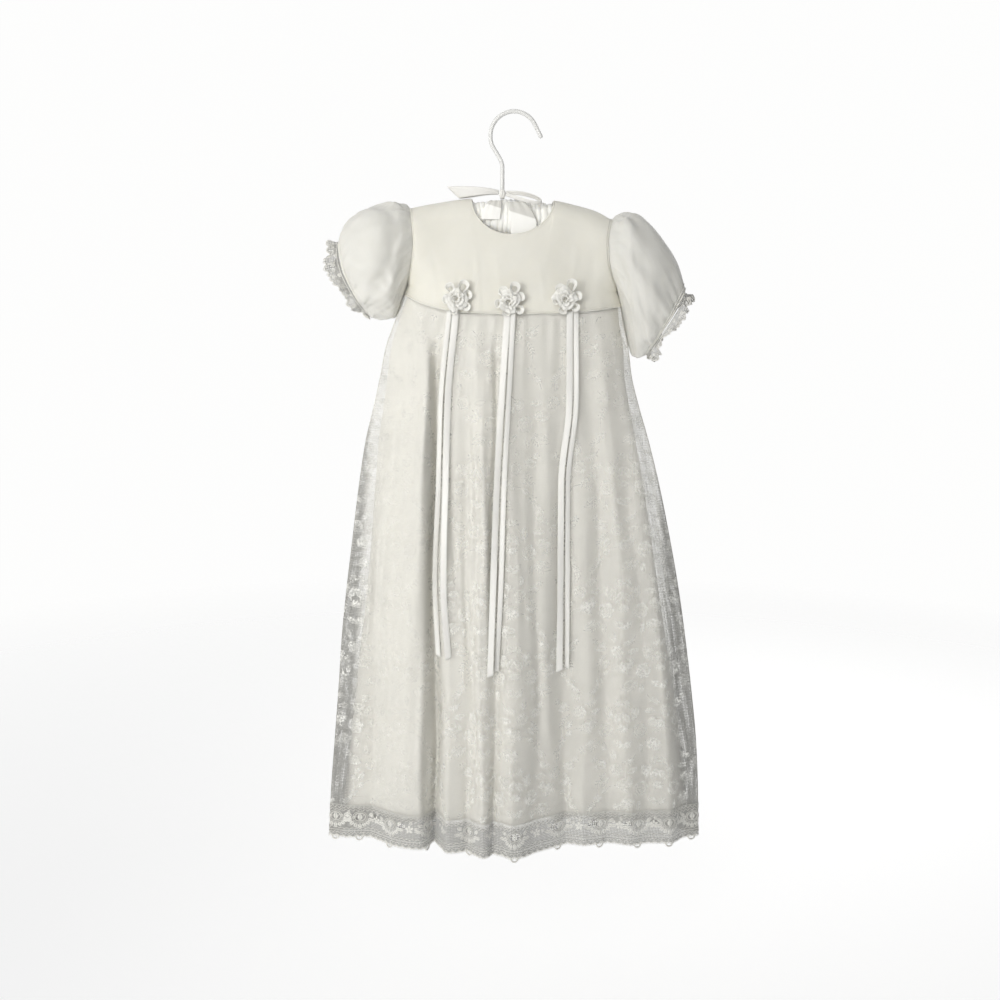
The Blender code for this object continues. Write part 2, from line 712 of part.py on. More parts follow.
def hook_points():
    """From the tip over the loop and down the S-shaped shank to the pad."""
    tip, end = math.radians(HOOK_TIP_ANGLE), math.radians(HOOK_END_ANGLE)
    turns = [lerp(tip, end, i / HOOK_STEPS) for i in range(HOOK_STEPS + 1)]
    centre = np.array((0.0, 0.0, WIRE_RADIUS - HOOK_RADIUS))
    round_part = [centre + HOOK_RADIUS * np.array((math.cos(a), 0.0, math.sin(a))) for a in turns]
    along_tip = HOOK_TIP_LENGTH * np.array((math.sin(tip), 0.0, -math.cos(tip)))
    points = [round_part[0] + along_tip, round_part[0] + along_tip / 2] + round_part
    last = round_part[-1]
    for i in range(1, SHANK_STEPS + 1):
        t = i / SHANK_STEPS
        x = lerp(last[0], SHANK_X, float(smoothstep(t)))
        points.append(np.array((x, 0.0, lerp(last[2], SHANK_BEND_Z, t))))
    foot = pad_top(SHANK_X) + SHANK_GAP
    points += [np.array((SHANK_X, 0.0, lerp(SHANK_BEND_Z, foot, t))) for t in (1 / 3, 2 / 3, 1.0)]
    return points


def pad_radius(x):
    """Radius of the padding: full in the middle, rounded at both ends."""
    end = PAD_ENDS[0] if x < 0 else PAD_ENDS[1]
    return PAD_RADIUS * max(0.0, 1.0 - abs(x / end) ** 4.5) ** 0.5 * lerp(1.0, 0.72, abs(x / end))


def pad_top(x):
    rise = PAD_RISE * math.exp(-((x / PAD_RISE_WIDTH) ** 2))
    return shoulder_z(x) - YOKE_CLOTH - PAD_BELOW_YOKE + rise


def build_pad(finish):
    """A shirred tube: rings along the shoulder line, in and out at each pleat."""
    count = 2 * PAD_PLEATS
    points, faces = [], []
    for i in range(1, count):
        x = lerp(*PAD_ENDS, 0.5 - 0.5 * math.cos(math.pi * i / count))
        belly = PAD_BELLY * math.exp(-((x / PAD_BELLY_WIDTH) ** 2))
        z = pad_top(x) - pad_radius(x)
        for k in range(PAD_SIDES):
            angle = 2 * math.pi * k / PAD_SIDES
            low = max(0.0, -math.cos(angle)) ** 1.5
            radius = pad_radius(x) * (1.0 + belly * low) - (PAD_PLEAT_DEPTH if i % 2 else 0.0)
            points.append((x, -radius * math.sin(angle), z + radius * math.cos(angle)))
    for i in range(count - 2):
        for k in range(PAD_SIDES):
            a, b = i * PAD_SIDES + k, i * PAD_SIDES + (k + 1) % PAD_SIDES
            faces.append((a, b, b + PAD_SIDES, a + PAD_SIDES))
    for first, row in ((True, 0), (False, count - 2)):
        x = PAD_ENDS[0] if first else PAD_ENDS[1]
        tip = len(points)
        points.append((x, 0.0, pad_top(x) - pad_radius(0.93 * x)))
        for k in range(PAD_SIDES):
            a, b = row * PAD_SIDES + k, row * PAD_SIDES + (k + 1) % PAD_SIDES
            faces.append((b, a, tip) if first else (a, b, tip))
    add_mesh("hanger_pad", points, faces, finish)


def build_bow(finish):
    """Wide ribbon tied at the foot of the hook: two loops, a knot and two tails."""
    knot = np.array(KNOT)
    for side, path in (("left", BOW_LOOP_LEFT), ("right", BOW_LOOP_RIGHT)):
        centres = [tuple(knot + np.array(row[:3])) for row in path]
        halves = [(0.0, 0.0, -row[3]) for row in path]
        strip(f"bow_loop_{side}", centres, halves, RIBBON, finish)
    for side, rows in (("left", BOW_TAIL_LEFT), ("right", BOW_TAIL_RIGHT)):
        centres = [(x, BOW_TAIL_Y, z) for x, z, _ in rows]
        halves = [(half, 0.0, 0.0) for _, _, half in rows]
        strip(f"bow_tail_{side}", centres, halves, RIBBON, finish)
    shape = bmesh.new()
    bmesh.ops.create_uvsphere(shape, u_segments=12, v_segments=7, radius=0.5)
    for vertex in shape.verts:
        vertex.co = [(k + size * c) * MM for k, size, c in zip(KNOT, KNOT_SIZE, vertex.co)]
    add_shape("bow_knot", shape, finish)


def main():
    for old in list(bpy.data.objects):
        bpy.data.objects.remove(old, do_unlink=True)
    bpy.context.scene.collection.children.link(bpy.data.collections.new(COLLECTION))

    organza = material("organza", (0.86, 0.85, 0.78), 0.7)
    lace = material("lace", (0.82, 0.82, 0.79), 0.75)
    satin = material("lining_satin", (0.85, 0.85, 0.8), 0.4)
    ribbon = material("ribbon_satin", (0.93, 0.92, 0.88), 0.35)
    pad_satin = material("pad_satin", (0.9, 0.89, 0.83), 0.35)
    coated_wire = material("coated_wire", (0.85, 0.85, 0.84), 0.35)
    button = material("button_pearl", (0.9, 0.9, 0.87), 0.3)

    build_yoke(organza)
    build_buttons(button)
    build_sleeve(0, "sleeve_left", LEFT_SLEEVE, LEFT_LACE_RING, organza)
    build_sleeve(1, "sleeve_right", RIGHT_SLEEVE, RIGHT_LACE_RING, organza)
    build_cuff_lace("cuff_lace_left", LEFT_SLEEVE[-1], LEFT_LACE_RING, 0, lace)
    build_cuff_lace("cuff_lace_right", RIGHT_SLEEVE[-1], RIGHT_LACE_RING, 1, lace)
    build_skirt_lace(-1, "skirt_lace_front", LACE_ROWS_FRONT, lace)
    build_skirt_lace(1, "skirt_lace_back", LACE_ROWS_BACK, lace)
    build_skirt_lining(-1, "skirt_lining_front", satin)
    build_skirt_lining(1, "skirt_lining_back", satin)
    for name, x, z in ROSETTES:
        build_rosette(f"rosette_{name}", x, z, ribbon)
    for name, width, *places in TAILS:
        build_tail(name, width, places, ribbon)
    wire("hanger_hook", hook_points(), WIRE_RADIUS, coated_wire)
    build_pad(pad_satin)
    build_bow(ribbon)


main()
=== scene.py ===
"""Looks of the christening gown on its padded hanger: cloth, lace, ribbons, light and camera.

Shapes are worked out in millimetres and become metres where a mesh is made. On cloth, s runs across it
and t up from the hem. Half is -1 for the front and 1 for the back; side is 0 for the left and 1 for the
right, as seen from the front.
"""

import math

import bpy
import numpy as np
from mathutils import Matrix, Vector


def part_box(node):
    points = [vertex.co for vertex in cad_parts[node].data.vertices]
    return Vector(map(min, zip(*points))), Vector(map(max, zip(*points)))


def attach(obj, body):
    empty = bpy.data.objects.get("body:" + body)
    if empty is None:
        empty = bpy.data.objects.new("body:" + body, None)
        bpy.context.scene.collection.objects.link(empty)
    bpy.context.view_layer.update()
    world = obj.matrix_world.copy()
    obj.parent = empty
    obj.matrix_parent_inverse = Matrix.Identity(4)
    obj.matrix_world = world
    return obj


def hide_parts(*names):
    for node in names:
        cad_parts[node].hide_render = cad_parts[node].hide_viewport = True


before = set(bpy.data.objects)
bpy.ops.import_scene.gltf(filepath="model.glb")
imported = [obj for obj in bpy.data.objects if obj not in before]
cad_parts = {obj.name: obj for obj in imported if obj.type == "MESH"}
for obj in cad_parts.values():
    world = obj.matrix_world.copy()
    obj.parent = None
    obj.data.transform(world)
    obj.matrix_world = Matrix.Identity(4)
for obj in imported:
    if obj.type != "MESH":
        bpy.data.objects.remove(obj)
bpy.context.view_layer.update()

MM = 0.001
UV_SCALE = 0.01  # one UV unit is 100 mm of cloth

SEAM_GAP, SIDE_SEAM_GAP = 0.4, 0.8
TURN = 0.984  # u at which the cloth has reached its side
SEAM_Z, SEAM_RISE, HEM_Z, LINING_HEM_Z = -187.5, (20.0, 8.0), -728.0, -691.0
SIDE_LINES = np.array((
    # z, left, right
    (-88.0, -98.0, 95.5), (-121.0, -94.5, 88.5), (-139.0, -96.5, 89.5), (-151.0, -99.0, 92.5),
    (-162.0, -103.0, 97.5), (-175.0, -107.5, 103.0), (-195.0, -115.5, 106.5), (-217.0, -124.0, 111.5),
    (-232.0, -127.5, 113.5), (-247.0, -130.5, 115.5), (-271.0, -136.0, 121.5), (-311.0, -146.0, 133.5),
    (-355.0, -153.5, 145.0), (-412.0, -161.5, 157.5), (-467.0, -169.0, 168.0), (-515.0, -174.5, 175.5),
    (-558.0, -178.0, 181.5), (-622.0, -184.0, 189.0), (-676.0, -189.0, 192.5), (-740.0, -193.0, 194.5),
))
SHOULDER = np.array((
    # x, z
    (-99.0, -88.0), (-75.0, -83.2), (-52.0, -79.7), (-39.0, -78.5), (0.0, -77.5), (39.0, -80.5),
    (61.0, -85.3), (78.0, -90.0), (96.0, -98.0),
))
NECK_HALF_WIDTH, NECK_DROPS = 39.3, {-1: 36.5, 1: 10.0}
UNDERARM_Z, ARMHOLE_HALF_DEPTH = (-160.0, -166.0), 19.0
SHOULDER_ROLL, REACH, ROUNDING, YOKE_HALF = 16.5, {-1: 34.0, 1: 32.0}, 2.6, 98.0
FOLDS = {
    # x at seam, x at hem, reach at hem
    -1: np.array((
        (-107.0, -193.0, 7.0), (-101.0, -172.0, 9.0), (-96.0, -150.0, 8.0), (-90.0, -122.0, 27.0),
        (-84.0, -102.0, 36.0), (-74.0, -81.0, 24.0), (-64.0, -62.0, 44.0), (-49.0, -48.0, 43.0),
        (-34.0, -32.0, 56.0), (-20.0, -17.0, 49.0), (-4.0, 2.0, 56.0), (13.0, 20.0, 45.0),
        (28.0, 37.0, 34.5), (43.0, 57.0, 24.0), (57.0, 78.0, 26.0), (68.0, 99.0, 22.0),
        (79.0, 122.0, 26.0), (88.0, 143.0, 22.0), (95.0, 160.0, 22.5), (100.0, 177.0, 11.0),
        (103.0, 194.0, 7.0),
    )),
    1: np.array((
        (-107.0, -193.0, 7.0), (-98.0, -168.0, 14.0), (-86.0, -139.0, 33.0), (-74.0, -112.0, 24.0),
        (-58.0, -80.0, 43.0), (-42.0, -53.0, 33.0), (-24.0, -27.0, 50.0), (-6.0, -4.0, 37.0),
        (14.0, 24.0, 49.0), (32.0, 52.0, 34.0), (50.0, 82.0, 42.0), (66.0, 110.0, 25.0),
        (80.0, 138.0, 31.0), (94.0, 168.0, 13.0), (103.0, 194.0, 7.0),
    )),
}
FOLD_GROWTH, GATHERS, GATHER_SIZE = 0.6, 16, 1.5
CREASES = {
    # x at seam, x at hem, z of top, z of bottom, half width, how far it stands out
    -1: np.array((
        (-97.0, -158.0, -230.0, -560.0, 5.0, -2.2), (-93.0, -136.0, -250.0, -728.0, 6.0, 2.4),
        (-86.0, -106.0, -205.0, -640.0, 8.0, 2.0), (-81.5, -92.0, -200.0, -728.0, 6.5, 5.6),
        (-75.0, -79.5, -192.0, -728.0, 4.4, -9.0), (-68.5, -70.0, -192.0, -728.0, 4.0, 3.0),
        (-60.0, -57.0, -195.0, -480.0, 3.5, -2.2), (-45.0, -43.5, -250.0, -728.0, 4.5, -3.4),
        (-38.0, -37.0, -192.0, -728.0, 3.2, -3.8), (-29.0, -26.0, -192.0, -600.0, 4.0, 2.2),
        (-18.0, -19.0, -192.0, -728.0, 4.0, -4.4), (-9.0, -5.0, -230.0, -728.0, 5.5, 1.6),
        (5.0, 9.0, -192.0, -560.0, 5.0, -1.3), (17.0, 24.0, -200.0, -728.0, 5.5, -2.4),
        (27.0, 36.0, -192.0, -660.0, 6.0, 1.2), (39.0, 52.0, -192.0, -728.0, 6.0, -1.2),
        (53.0, 74.0, -192.0, -728.0, 7.0, 1.3), (66.0, 95.0, -240.0, -728.0, 6.0, -1.2),
        (78.0, 118.0, -200.0, -728.0, 7.0, 1.4), (88.0, 141.0, -230.0, -728.0, 7.0, -1.4),
        (96.0, 163.0, -260.0, -728.0, 7.0, 1.2),
    )),
    1: np.array((
        (-92.0, -152.0, -220.0, -728.0, 6.0, 2.4), (-80.0, -124.0, -200.0, -728.0, 6.0, -2.4),
        (-65.0, -93.0, -192.0, -650.0, 5.0, 2.6), (-50.0, -67.0, -192.0, -728.0, 5.0, -3.2),
        (-33.0, -41.0, -230.0, -728.0, 5.0, 2.4), (-15.0, -15.0, -192.0, -728.0, 4.5, -3.4),
        (4.0, 10.0, -192.0, -640.0, 5.0, 2.6), (22.0, 37.0, -210.0, -728.0, 5.0, -2.6),
        (41.0, 66.0, -192.0, -728.0, 5.0, 2.4), (58.0, 96.0, -192.0, -728.0, 5.0, -3.0),
        (73.0, 124.0, -230.0, -728.0, 6.0, 2.2), (88.0, 154.0, -260.0, -728.0, 6.0, -2.0),
    )),
}
LINING_BEHIND = 4.2
LINING_INSET = np.array((
    # z, how far the lining's sides lie inside the lace's
    (-160.0, 2.5), (-230.0, 6.0), (-350.0, 16.0), (-470.0, 21.0), (-575.0, 18.0), (-691.0, 14.0),
))
REPEATS = 11  # of the lace border, across each half
EYE_T, EYE_HALF_S, EYE_HALF_T = 26.0, 5.4, 4.0  # height and half sizes of the border's eyes
SCALLOP = 7.2  # length of one scallop of the lace's lower edge, which has two picots
# Where the lining's sides lie, left and right: x + slope * z + rest is 0 there, in metres
STRIP_LINES = ((-0.072, 0.1235), (0.09, -0.1145))

SLEEVES = (
    # top x, top z, bottom x, bottom z, half depth of each ring
    (
        (-107.0, -83.0, -111.6, -183.0, 30.0), (-122.0, -82.0, -117.0, -194.0, 37.0),
        (-143.0, -87.0, -131.0, -192.0, 38.0), (-161.0, -99.0, -137.0, -192.0, 33.0),
        (-168.0, -119.0, -139.0, -189.0, 24.0),
    ),
    (
        (102.5, -93.0, 106.0, -187.0, 30.0), (113.0, -90.5, 111.0, -209.0, 36.0),
        (135.0, -101.0, 114.8, -229.0, 38.0), (155.5, -134.0, 121.0, -232.0, 34.0),
        (166.5, -167.0, 129.0, -226.0, 24.0),
    ),
)
LACE_RINGS = ((-178.5, -121.0, -144.0, -191.0, 29.0), (174.0, -174.0, 137.0, -231.0, 29.0))
LACE_BULGE, CUFF_BULGE, CUFF_WAVES, CUFF_WAVE_SIZE, CUFF_GAP = (11.0, -3.0), (6.0, 0.0), 11, 2.6, 0.8
RING_PLACES, ARMHOLE_GAP, SLEEVE_GATHERS = (0.0, 0.16, 0.44, 0.63, 0.81, 1.0), 1.4, 9
SLEEVE_CREASES = (
    # side, angle round the arm in degrees (90 is the front), angle at cuff, from t, to t, half width, height
    (0, 50, 62, 0.05, 0.80, 7, 1.5), (0, 74, 78, 0.0, 0.62, 6, -1.7), (0, 96, 92, 0.05, 0.95, 7, 1.8),
    (0, 116, 108, 0.0, 0.7, 6, -1.9), (0, 134, 122, 0.1, 1.0, 6, 1.6), (0, 150, 140, 0.0, 0.85, 5, -1.5),
    (0, 28, 40, 0.1, 0.7, 8, -1.2), (0, 250, 262, 0.05, 0.9, 8, 1.7), (0, 285, 280, 0.0, 0.75, 7, -1.7),
    (0, 220, 236, 0.1, 0.9, 7, -1.4), (0, 318, 305, 0.1, 0.8, 8, 1.4),
    (1, 48, 60, 0.0, 0.6, 8, 1.5), (1, 68, 74, 0.1, 0.95, 7, -1.9), (1, 88, 90, 0.3, 1.0, 6, 2.0),
    (1, 106, 102, 0.05, 1.0, 6, -2.0), (1, 122, 114, 0.35, 1.0, 6, 2.0), (1, 140, 130, 0.0, 0.8, 6, -1.8),
    (1, 24, 36, 0.0, 0.7, 8, -1.3), (1, 245, 256, 0.0, 0.8, 8, 1.8), (1, 275, 270, 0.3, 1.0, 7, -1.9),
    (1, 222, 238, 0.2, 1.0, 6, -1.5), (1, 312, 300, 0.05, 0.8, 8, 1.5),
)

ROSETTES = (("left", -53.6, -170.9), ("centre", -3.9, -173.7), ("right", 49.5, -170.9))
TAIL_TOP_Z = -189.5
TAILS = (
    # name, width, x at top, x at z -270, x at z -350, x at z -450, x at end, z of end
    ("left_wide", 6.0, -55.5, -63.0, -65.8, -68.3, -64.0, -522.6),
    ("left_narrow", 4.5, -61.6, -70.0, -72.8, -77.5, -74.5, -521.6),
    ("centre_wide", 6.0, -6.5, -12.0, -16.2, -20.0, -23.0, -537.3),
    ("centre_narrow", 4.5, -1.0, -5.2, -9.4, -12.6, -16.6, -533.2),
    ("right_wide", 6.0, 52.5, 53.0, 45.8, 46.0, 45.6, -538.0),
    ("right_narrow", 4.5, 58.5, 59.5, 52.6, 53.0, 53.5, -536.0),
)
BUTTON_ZS, LAP = (-97.0, -133.0, -169.0), 9.0
WIRE_RADIUS, HOOK_RADIUS, HOOK_ANGLES, HOOK_TIP_LENGTH = 2.0, 22.4, (27.0, 188.0), 12.0
SHANK_X, SHANK_BEND_Z = -11.0, -49.0
PAD_ENDS, PAD_RADIUS, PAD_DROP, PAD_RISE = (-85.0, 80.0), 13.2, 3.6, (2.2, 24.0)
PAD_PLEATS = 31
KNOT, KNOT_SIZE = np.array((SHANK_X, -7.1, -74.8)), np.array((6.0, 7.2, 9.2))
BOW_LOOPS = {
    # x, y, z from the knot, half width
    "left": np.array((
        (-3.5, -1.5, 1.2, 2.0), (-16.0, -5.0, 2.2, 3.2), (-32.0, -5.5, 1.8, 4.4), (-44.5, -3.0, 1.2, 5.0),
        (-48.0, 1.0, 1.0, 5.2), (-42.0, 4.2, 1.2, 5.0), (-28.0, 3.0, 2.0, 4.4), (-14.0, 0.8, 2.2, 3.2),
        (-3.5, 0.4, 1.2, 2.0),
    )),
    "right": np.array((
        (3.5, -0.6, 0.8, 1.8), (15.0, -3.0, 0.4, 2.2), (26.0, -6.0, -2.0, 2.3), (34.0, -8.5, -5.4, 2.3),
        (38.0, -11.0, -8.8, 2.2), (33.5, -13.5, -10.6, 2.2), (23.0, -13.0, -8.4, 2.1),
        (12.0, -8.5, -4.4, 2.0), (3.5, -2.6, -0.8, 1.8),
    )),
}
BOW_TAIL_Y = -15.7  # in front of the padding
BOW_TAILS = {
    # x, z, half width
    "left": ((-17.5, -82.0, 5.5), (-20.0, -88.0, 8.0), (-21.5, -94.0, 9.0), (-22.0, -99.5, 9.0)),
    "right": ((2.5, -83.5, 8.0), (6.5, -92.0, 11.0), (9.0, -102.0, 12.5), (9.5, -113.5, 12.5)),
}


# ---------------------------------------------------------------- numbers

def lerp(a, b, t):
    return a + (b - a) * t


def smoothstep(t):
    t = np.clip(t, 0.0, 1.0)
    return t * t * (3.0 - 2.0 * t)


def smooth_line(xs, ys, x):
    """Reads smooth curves through points, flat at each high and low point, one curve or one for each x."""
    xs, ys, x = (np.asarray(v, float) for v in (xs, ys, x))
    xs = np.broadcast_to(xs, x.shape + xs.shape[-1:])
    ys = np.broadcast_to(ys, xs.shape)
    step = np.diff(xs, axis=-1)
    slope = np.diff(ys, axis=-1) / step
    before, after = slope[..., :-1], slope[..., 1:]
    same = before * after > 0
    inner = np.where(same, 2.0 * before * after / np.where(same, before + after, 1.0), 0.0)
    tangent = np.concatenate([slope[..., :1], inner, slope[..., -1:]], axis=-1)
    i = np.clip((xs[..., 1:-1] < x[..., None]).sum(-1), 0, step.shape[-1] - 1)[..., None]

    def at(values, k=0):
        return np.take_along_axis(values, i + k, -1)[..., 0]

    t = np.clip((x - at(xs)) / at(step), 0.0, 1.0)
    t2, t3 = t * t, t * t * t
    return (
        at(ys) * (2 * t3 - 3 * t2 + 1) + at(step) * at(tangent) * (t3 - 2 * t2 + t)
        + at(ys, 1) * (3 * t2 - 2 * t3) + at(step) * at(tangent, 1) * (t3 - t2)
    )


def ripple(a, b, seed, size_a, size_b):
    """Soft uneven noise, about -1 to 1, with waves about size_a long one way and size_b the other."""
    random = np.random.default_rng(seed)
    total = np.zeros(np.broadcast(a, b).shape)
    for _ in range(7):
        fa = random.uniform(0.5, 1.5) * 2 * math.pi / size_a * random.choice((-1, 1))
        fb = random.uniform(0.3, 1.3) * 2 * math.pi / size_b
        total = total + np.sin(fa * a + fb * b + random.uniform(0, 2 * math.pi))
    return total / 3.0


def circle(count):
    return np.linspace(0, 2 * math.pi, count, endpoint=False)


def spaced(ends, counts):
    """Places from the first end to the last, with its own count for each stretch."""
    runs = [np.linspace(low, high, count) for low, high, count in zip(ends, ends[1:], counts)]
    return np.concatenate([run[:-1] for run in runs[:-1]] + runs[-1:])


def run_lengths(points, axis=0):
    """Length of the line from the first point to each point, along one axis of a grid."""
    steps = np.linalg.norm(np.diff(points, axis=axis), axis=-1)
    return np.insert(np.cumsum(steps, axis=axis), 0, 0.0, axis=axis)


def unit(vectors):
    return vectors / np.maximum(np.linalg.norm(vectors, axis=-1, keepdims=True), 1e-9)


def grid_normals(points):
    """Normals of a grid of points, on the side that its faces point to."""
    return unit(np.cross(np.gradient(points, axis=0), np.gradient(points, axis=1)))


# ---------------------------------------------------------------- shapes of the gown

def side_x(z, side):
    return smooth_line(-SIDE_LINES[:, 0], SIDE_LINES[:, 1 + side], -np.asarray(z, float))


def across(x, z):
    left, right = side_x(z, 0), side_x(z, 1)
    return (x - (left + right) / 2) / ((right - left) / 2)


def place_x(u, z, inset=0.0):
    left, right = side_x(z, 0) + inset, side_x(z, 1) - inset
    return lerp(left, right, (np.clip(u / TURN, -1.0, 1.0) + 1) / 2)


def section(u):
    return np.clip(1.0 - np.abs(u) ** ROUNDING, 0.0, 1.0) ** (1.0 / ROUNDING)


def side_turn(u):
    return np.sqrt(np.clip(1.0 - np.abs(u) ** 12, 0.0, 1.0))


def seam_z(u):
    return SEAM_Z + np.where(np.asarray(u) < 0, *SEAM_RISE) * np.abs(u) ** 3


def spread(z):
    top, bottom = (side_x(level, 1) - side_x(level, 0) for level in (SEAM_Z, HEM_Z))
    return np.clip((side_x(z, 1) - side_x(z, 0) - top) / (bottom - top), 0.0, 1.0)


def creases(half, x, z):
    """Soft troughs and ridges, placed one by one, that run down the skirt."""
    f = spread(z)
    total = np.zeros(np.shape(x))
    for n, (seam_x, hem_x, top, bottom, width, size) in enumerate(CREASES[half]):
        line = lerp(seam_x, hem_x, f) + 2.2 * np.sin(z / 47.0 + 2.0 * n)
        broad = width * (1.0 + 0.25 * np.sin(z / 60.0 + n))
        fade_out = 1.0 if bottom == HEM_Z else smoothstep((z - bottom) / 90.0)
        grows = 45.0 if abs(size) > 4.0 else 190.0
        ends = smoothstep((top - z) / grows) * fade_out * (1.0 + 0.25 * np.sin(z / 38.0 + 1.3 * n))
        total = total + size * ends * np.exp(-((x - line) / broad) ** 2)
    return total


def skirt(half, u, z, behind=0.0, inset=0.0):
    """Points of the lace skirt, or of the lining a little behind it."""
    u, z = np.broadcast_arrays(np.asarray(u, float), np.asarray(z, float))
    folds = FOLDS[half]
    x = place_x(u, z, inset)
    f = spread(z)[..., None]
    grown = np.clip((SEAM_Z - z) / (SEAM_Z - HEM_Z), 0.0, 1.0)[..., None] ** FOLD_GROWTH
    places = lerp(folds[:, 0], folds[:, 1], f)
    places[..., 0], places[..., -1] = side_x(z, 0), side_x(z, 1)
    reaches = lerp(REACH[half] * section(across(folds[:, 0], SEAM_Z)), folds[:, 2], grown)
    reach = smooth_line(places, reaches, x)
    # Gathers, strongest 8 mm below the seam
    below = seam_z(u) - z
    fade = smoothstep(below / 8.0) * np.exp(-np.clip(below - 8.0, 0.0, None) / 55.0)
    uneven = np.cos(math.pi * GATHERS * u) + 0.3 * np.cos(math.pi * 27 * u + 1.5 * np.sin(9 * u))
    reach = reach + GATHER_SIZE * 0.36 * fade * uneven * section(u)
    # Creases and ripples, which begin under the gathers
    soft = smoothstep((below - 6.0) / 60.0)
    reach = reach + creases(half, x, z) * soft
    reach = reach + 0.7 * soft * ripple(x, z, 5 if half < 0 else 6, 34.0, 230.0)
    reach = (reach - behind) * side_turn(u) + SIDE_SEAM_GAP / 2
    return np.stack([x, half * reach, z], axis=-1)


def lining(half, u, z):
    inset = smooth_line(-LINING_INSET[:, 0], LINING_INSET[:, 1], -np.asarray(z, float))
    return skirt(half, u, z, LINING_BEHIND, inset)


def shoulder_z(x):
    return smooth_line(SHOULDER[:, 0], SHOULDER[:, 1], x)


def neck_z(x, drop):
    inside = np.clip(1.0 - (x / NECK_HALF_WIDTH) ** 2, 0.0, None)
    return shoulder_z(x) - drop * np.sqrt(inside)


def armhole_span(side):
    tip = (SHOULDER[0], SHOULDER[-1])[side][1]
    return (tip + UNDERARM_Z[side]) / 2, (tip - UNDERARM_Z[side]) / 2


def yoke(half, u, z, lift=0.0):
    """Points of the yoke's outer surface."""
    x = place_x(u, z)
    below = np.clip(shoulder_z(x) - z, 0.0, None)
    roll = np.sqrt(np.clip(1.0 - (1.0 - np.clip(below / SHOULDER_ROLL, 0.0, 1.0)) ** 2, 0.0, None))
    growth = (REACH[half] - SHOULDER_ROLL) * smoothstep((below - 8.0) / 90.0)
    # The armholes are oval, and their depth fades away from the sides
    edge = 0.0
    for side in (0, 1):
        middle, tall = armhole_span(side)
        level = (z - middle) / tall
        open_here = np.sqrt(np.clip(1.0 - level ** 2, 0.0, None))
        open_here = lerp(np.exp(-1.6 * level ** 4), open_here, np.abs(u) ** 20)
        edge = edge + ARMHOLE_HALF_DEPTH * open_here * np.abs(u) ** 6 * ((u >= 0) == bool(side))
    reach = (SHOULDER_ROLL * roll + growth) * section(u) * side_turn(u) + edge
    turned_in = 0.48 * np.exp(-below / 3.0)
    return np.stack([x, half * (reach + SEAM_GAP / 2 + turned_in + lift), z], axis=-1)


def front_y(x, z):
    u = np.clip(across(x, z), -0.98, 0.98)
    return np.where(z > seam_z(u), yoke(-1, u, z)[..., 1], skirt(-1, u, z)[..., 1])


def across_places(shares):
    return lerp(2 * shares - 1, -np.cos(math.pi * shares), 0.5)


PANEL_ROWS, PANEL_COLUMNS, PANEL_TOP_Z = 300, 601, -166.0


class Panel:
    """The lace of one half as laid flat: s is its length across from the middle, t its height."""

    def __init__(self, half):
        self.z = np.linspace(HEM_Z, PANEL_TOP_Z, PANEL_ROWS)
        self.u = across_places(np.linspace(0, 1, PANEL_COLUMNS))
        self.points = skirt(half, self.u[None, :], self.z[:, None])
        lengths = run_lengths(self.points, axis=1)
        self.s = lengths - lengths[:, [PANEL_COLUMNS // 2]]
        normals = grid_normals(self.points)
        self.normals = normals * np.sign((normals * (0, half, 0)).sum(-1).mean())

    def width(self, t):
        row = self.s[self.row(np.array([t]))[0][0]]
        return row[0], row[-1]

    def row(self, t):
        place = np.clip((HEM_Z + t - self.z[0]) / (self.z[1] - self.z[0]), 0, len(self.z) - 1.001)
        return place.astype(int), place % 1.0

    def s_of(self, u, t):
        """s of a column at height t."""
        row, part = self.row(np.asarray(t, float))
        line = lerp(self.s[row], self.s[row + 1], part[..., None])
        lines = line.reshape(-1, len(self.u))
        return np.array([np.interp(a, self.u, b) for a, b in zip(np.ravel(u), lines)])

    def place(self, stl):
        """World points of an array of (s, t, lift off the cloth)."""
        out = np.empty_like(stl)
        batch = 4000  # points at a time, to save memory
        for start in range(0, len(stl), batch):
            s, t, lift = stl[start:start + batch].T
            row, part = self.row(t)
            line = lerp(self.s[row], self.s[row + 1], part[:, None])
            column = np.clip((line < s[:, None]).sum(1) - 1, 0, len(self.u) - 2)
            each = np.arange(len(s))
            low, high = line[each, column], line[each, column + 1]
            along = np.clip((s - low) / (high - low), 0.0, 1.0)[:, None]
            part = part[:, None]
            values = []
            for source in (self.points, self.normals):
                lower = lerp(source[row, column], source[row, column + 1], along)
                upper = lerp(source[row + 1, column], source[row + 1, column + 1], along)
                values.append(lerp(lower, upper, part))
            out[start:start + batch] = values[0] + values[1] * lift[:, None]
        return out


PANELS = {-1: Panel(-1), 1: Panel(1)}


# ---------------------------------------------------------------- making meshes

def add_to_scene(name, data):
    made = bpy.data.objects.new(name, data)
    bpy.context.scene.collection.objects.link(made)
    return made


def add_object(name, points, faces, material, uv=None, wall=0.0, replaces=(), slot=None):
    mesh = bpy.data.meshes.new(name)
    mesh.from_pydata((np.asarray(points) * MM).tolist(), [], faces)
    mesh.update()
    mesh.shade_smooth()
    if uv is not None:
        layer = mesh.uv_layers.new(name="cloth")
        corners = np.empty(len(mesh.loops), np.int32)
        mesh.loops.foreach_get("vertex_index", corners)
        layer.data.foreach_set("uv", (np.asarray(uv)[corners] * UV_SCALE).ravel())
    mesh.materials.append(material)
    made = add_to_scene(name, mesh)
    if wall:
        modifier = made.modifiers.new("wall", "SOLIDIFY")
        modifier.thickness = wall * MM
        modifier.offset = -1.0
    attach(made, "root")
    if replaces:
        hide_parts(*replaces)
    return made


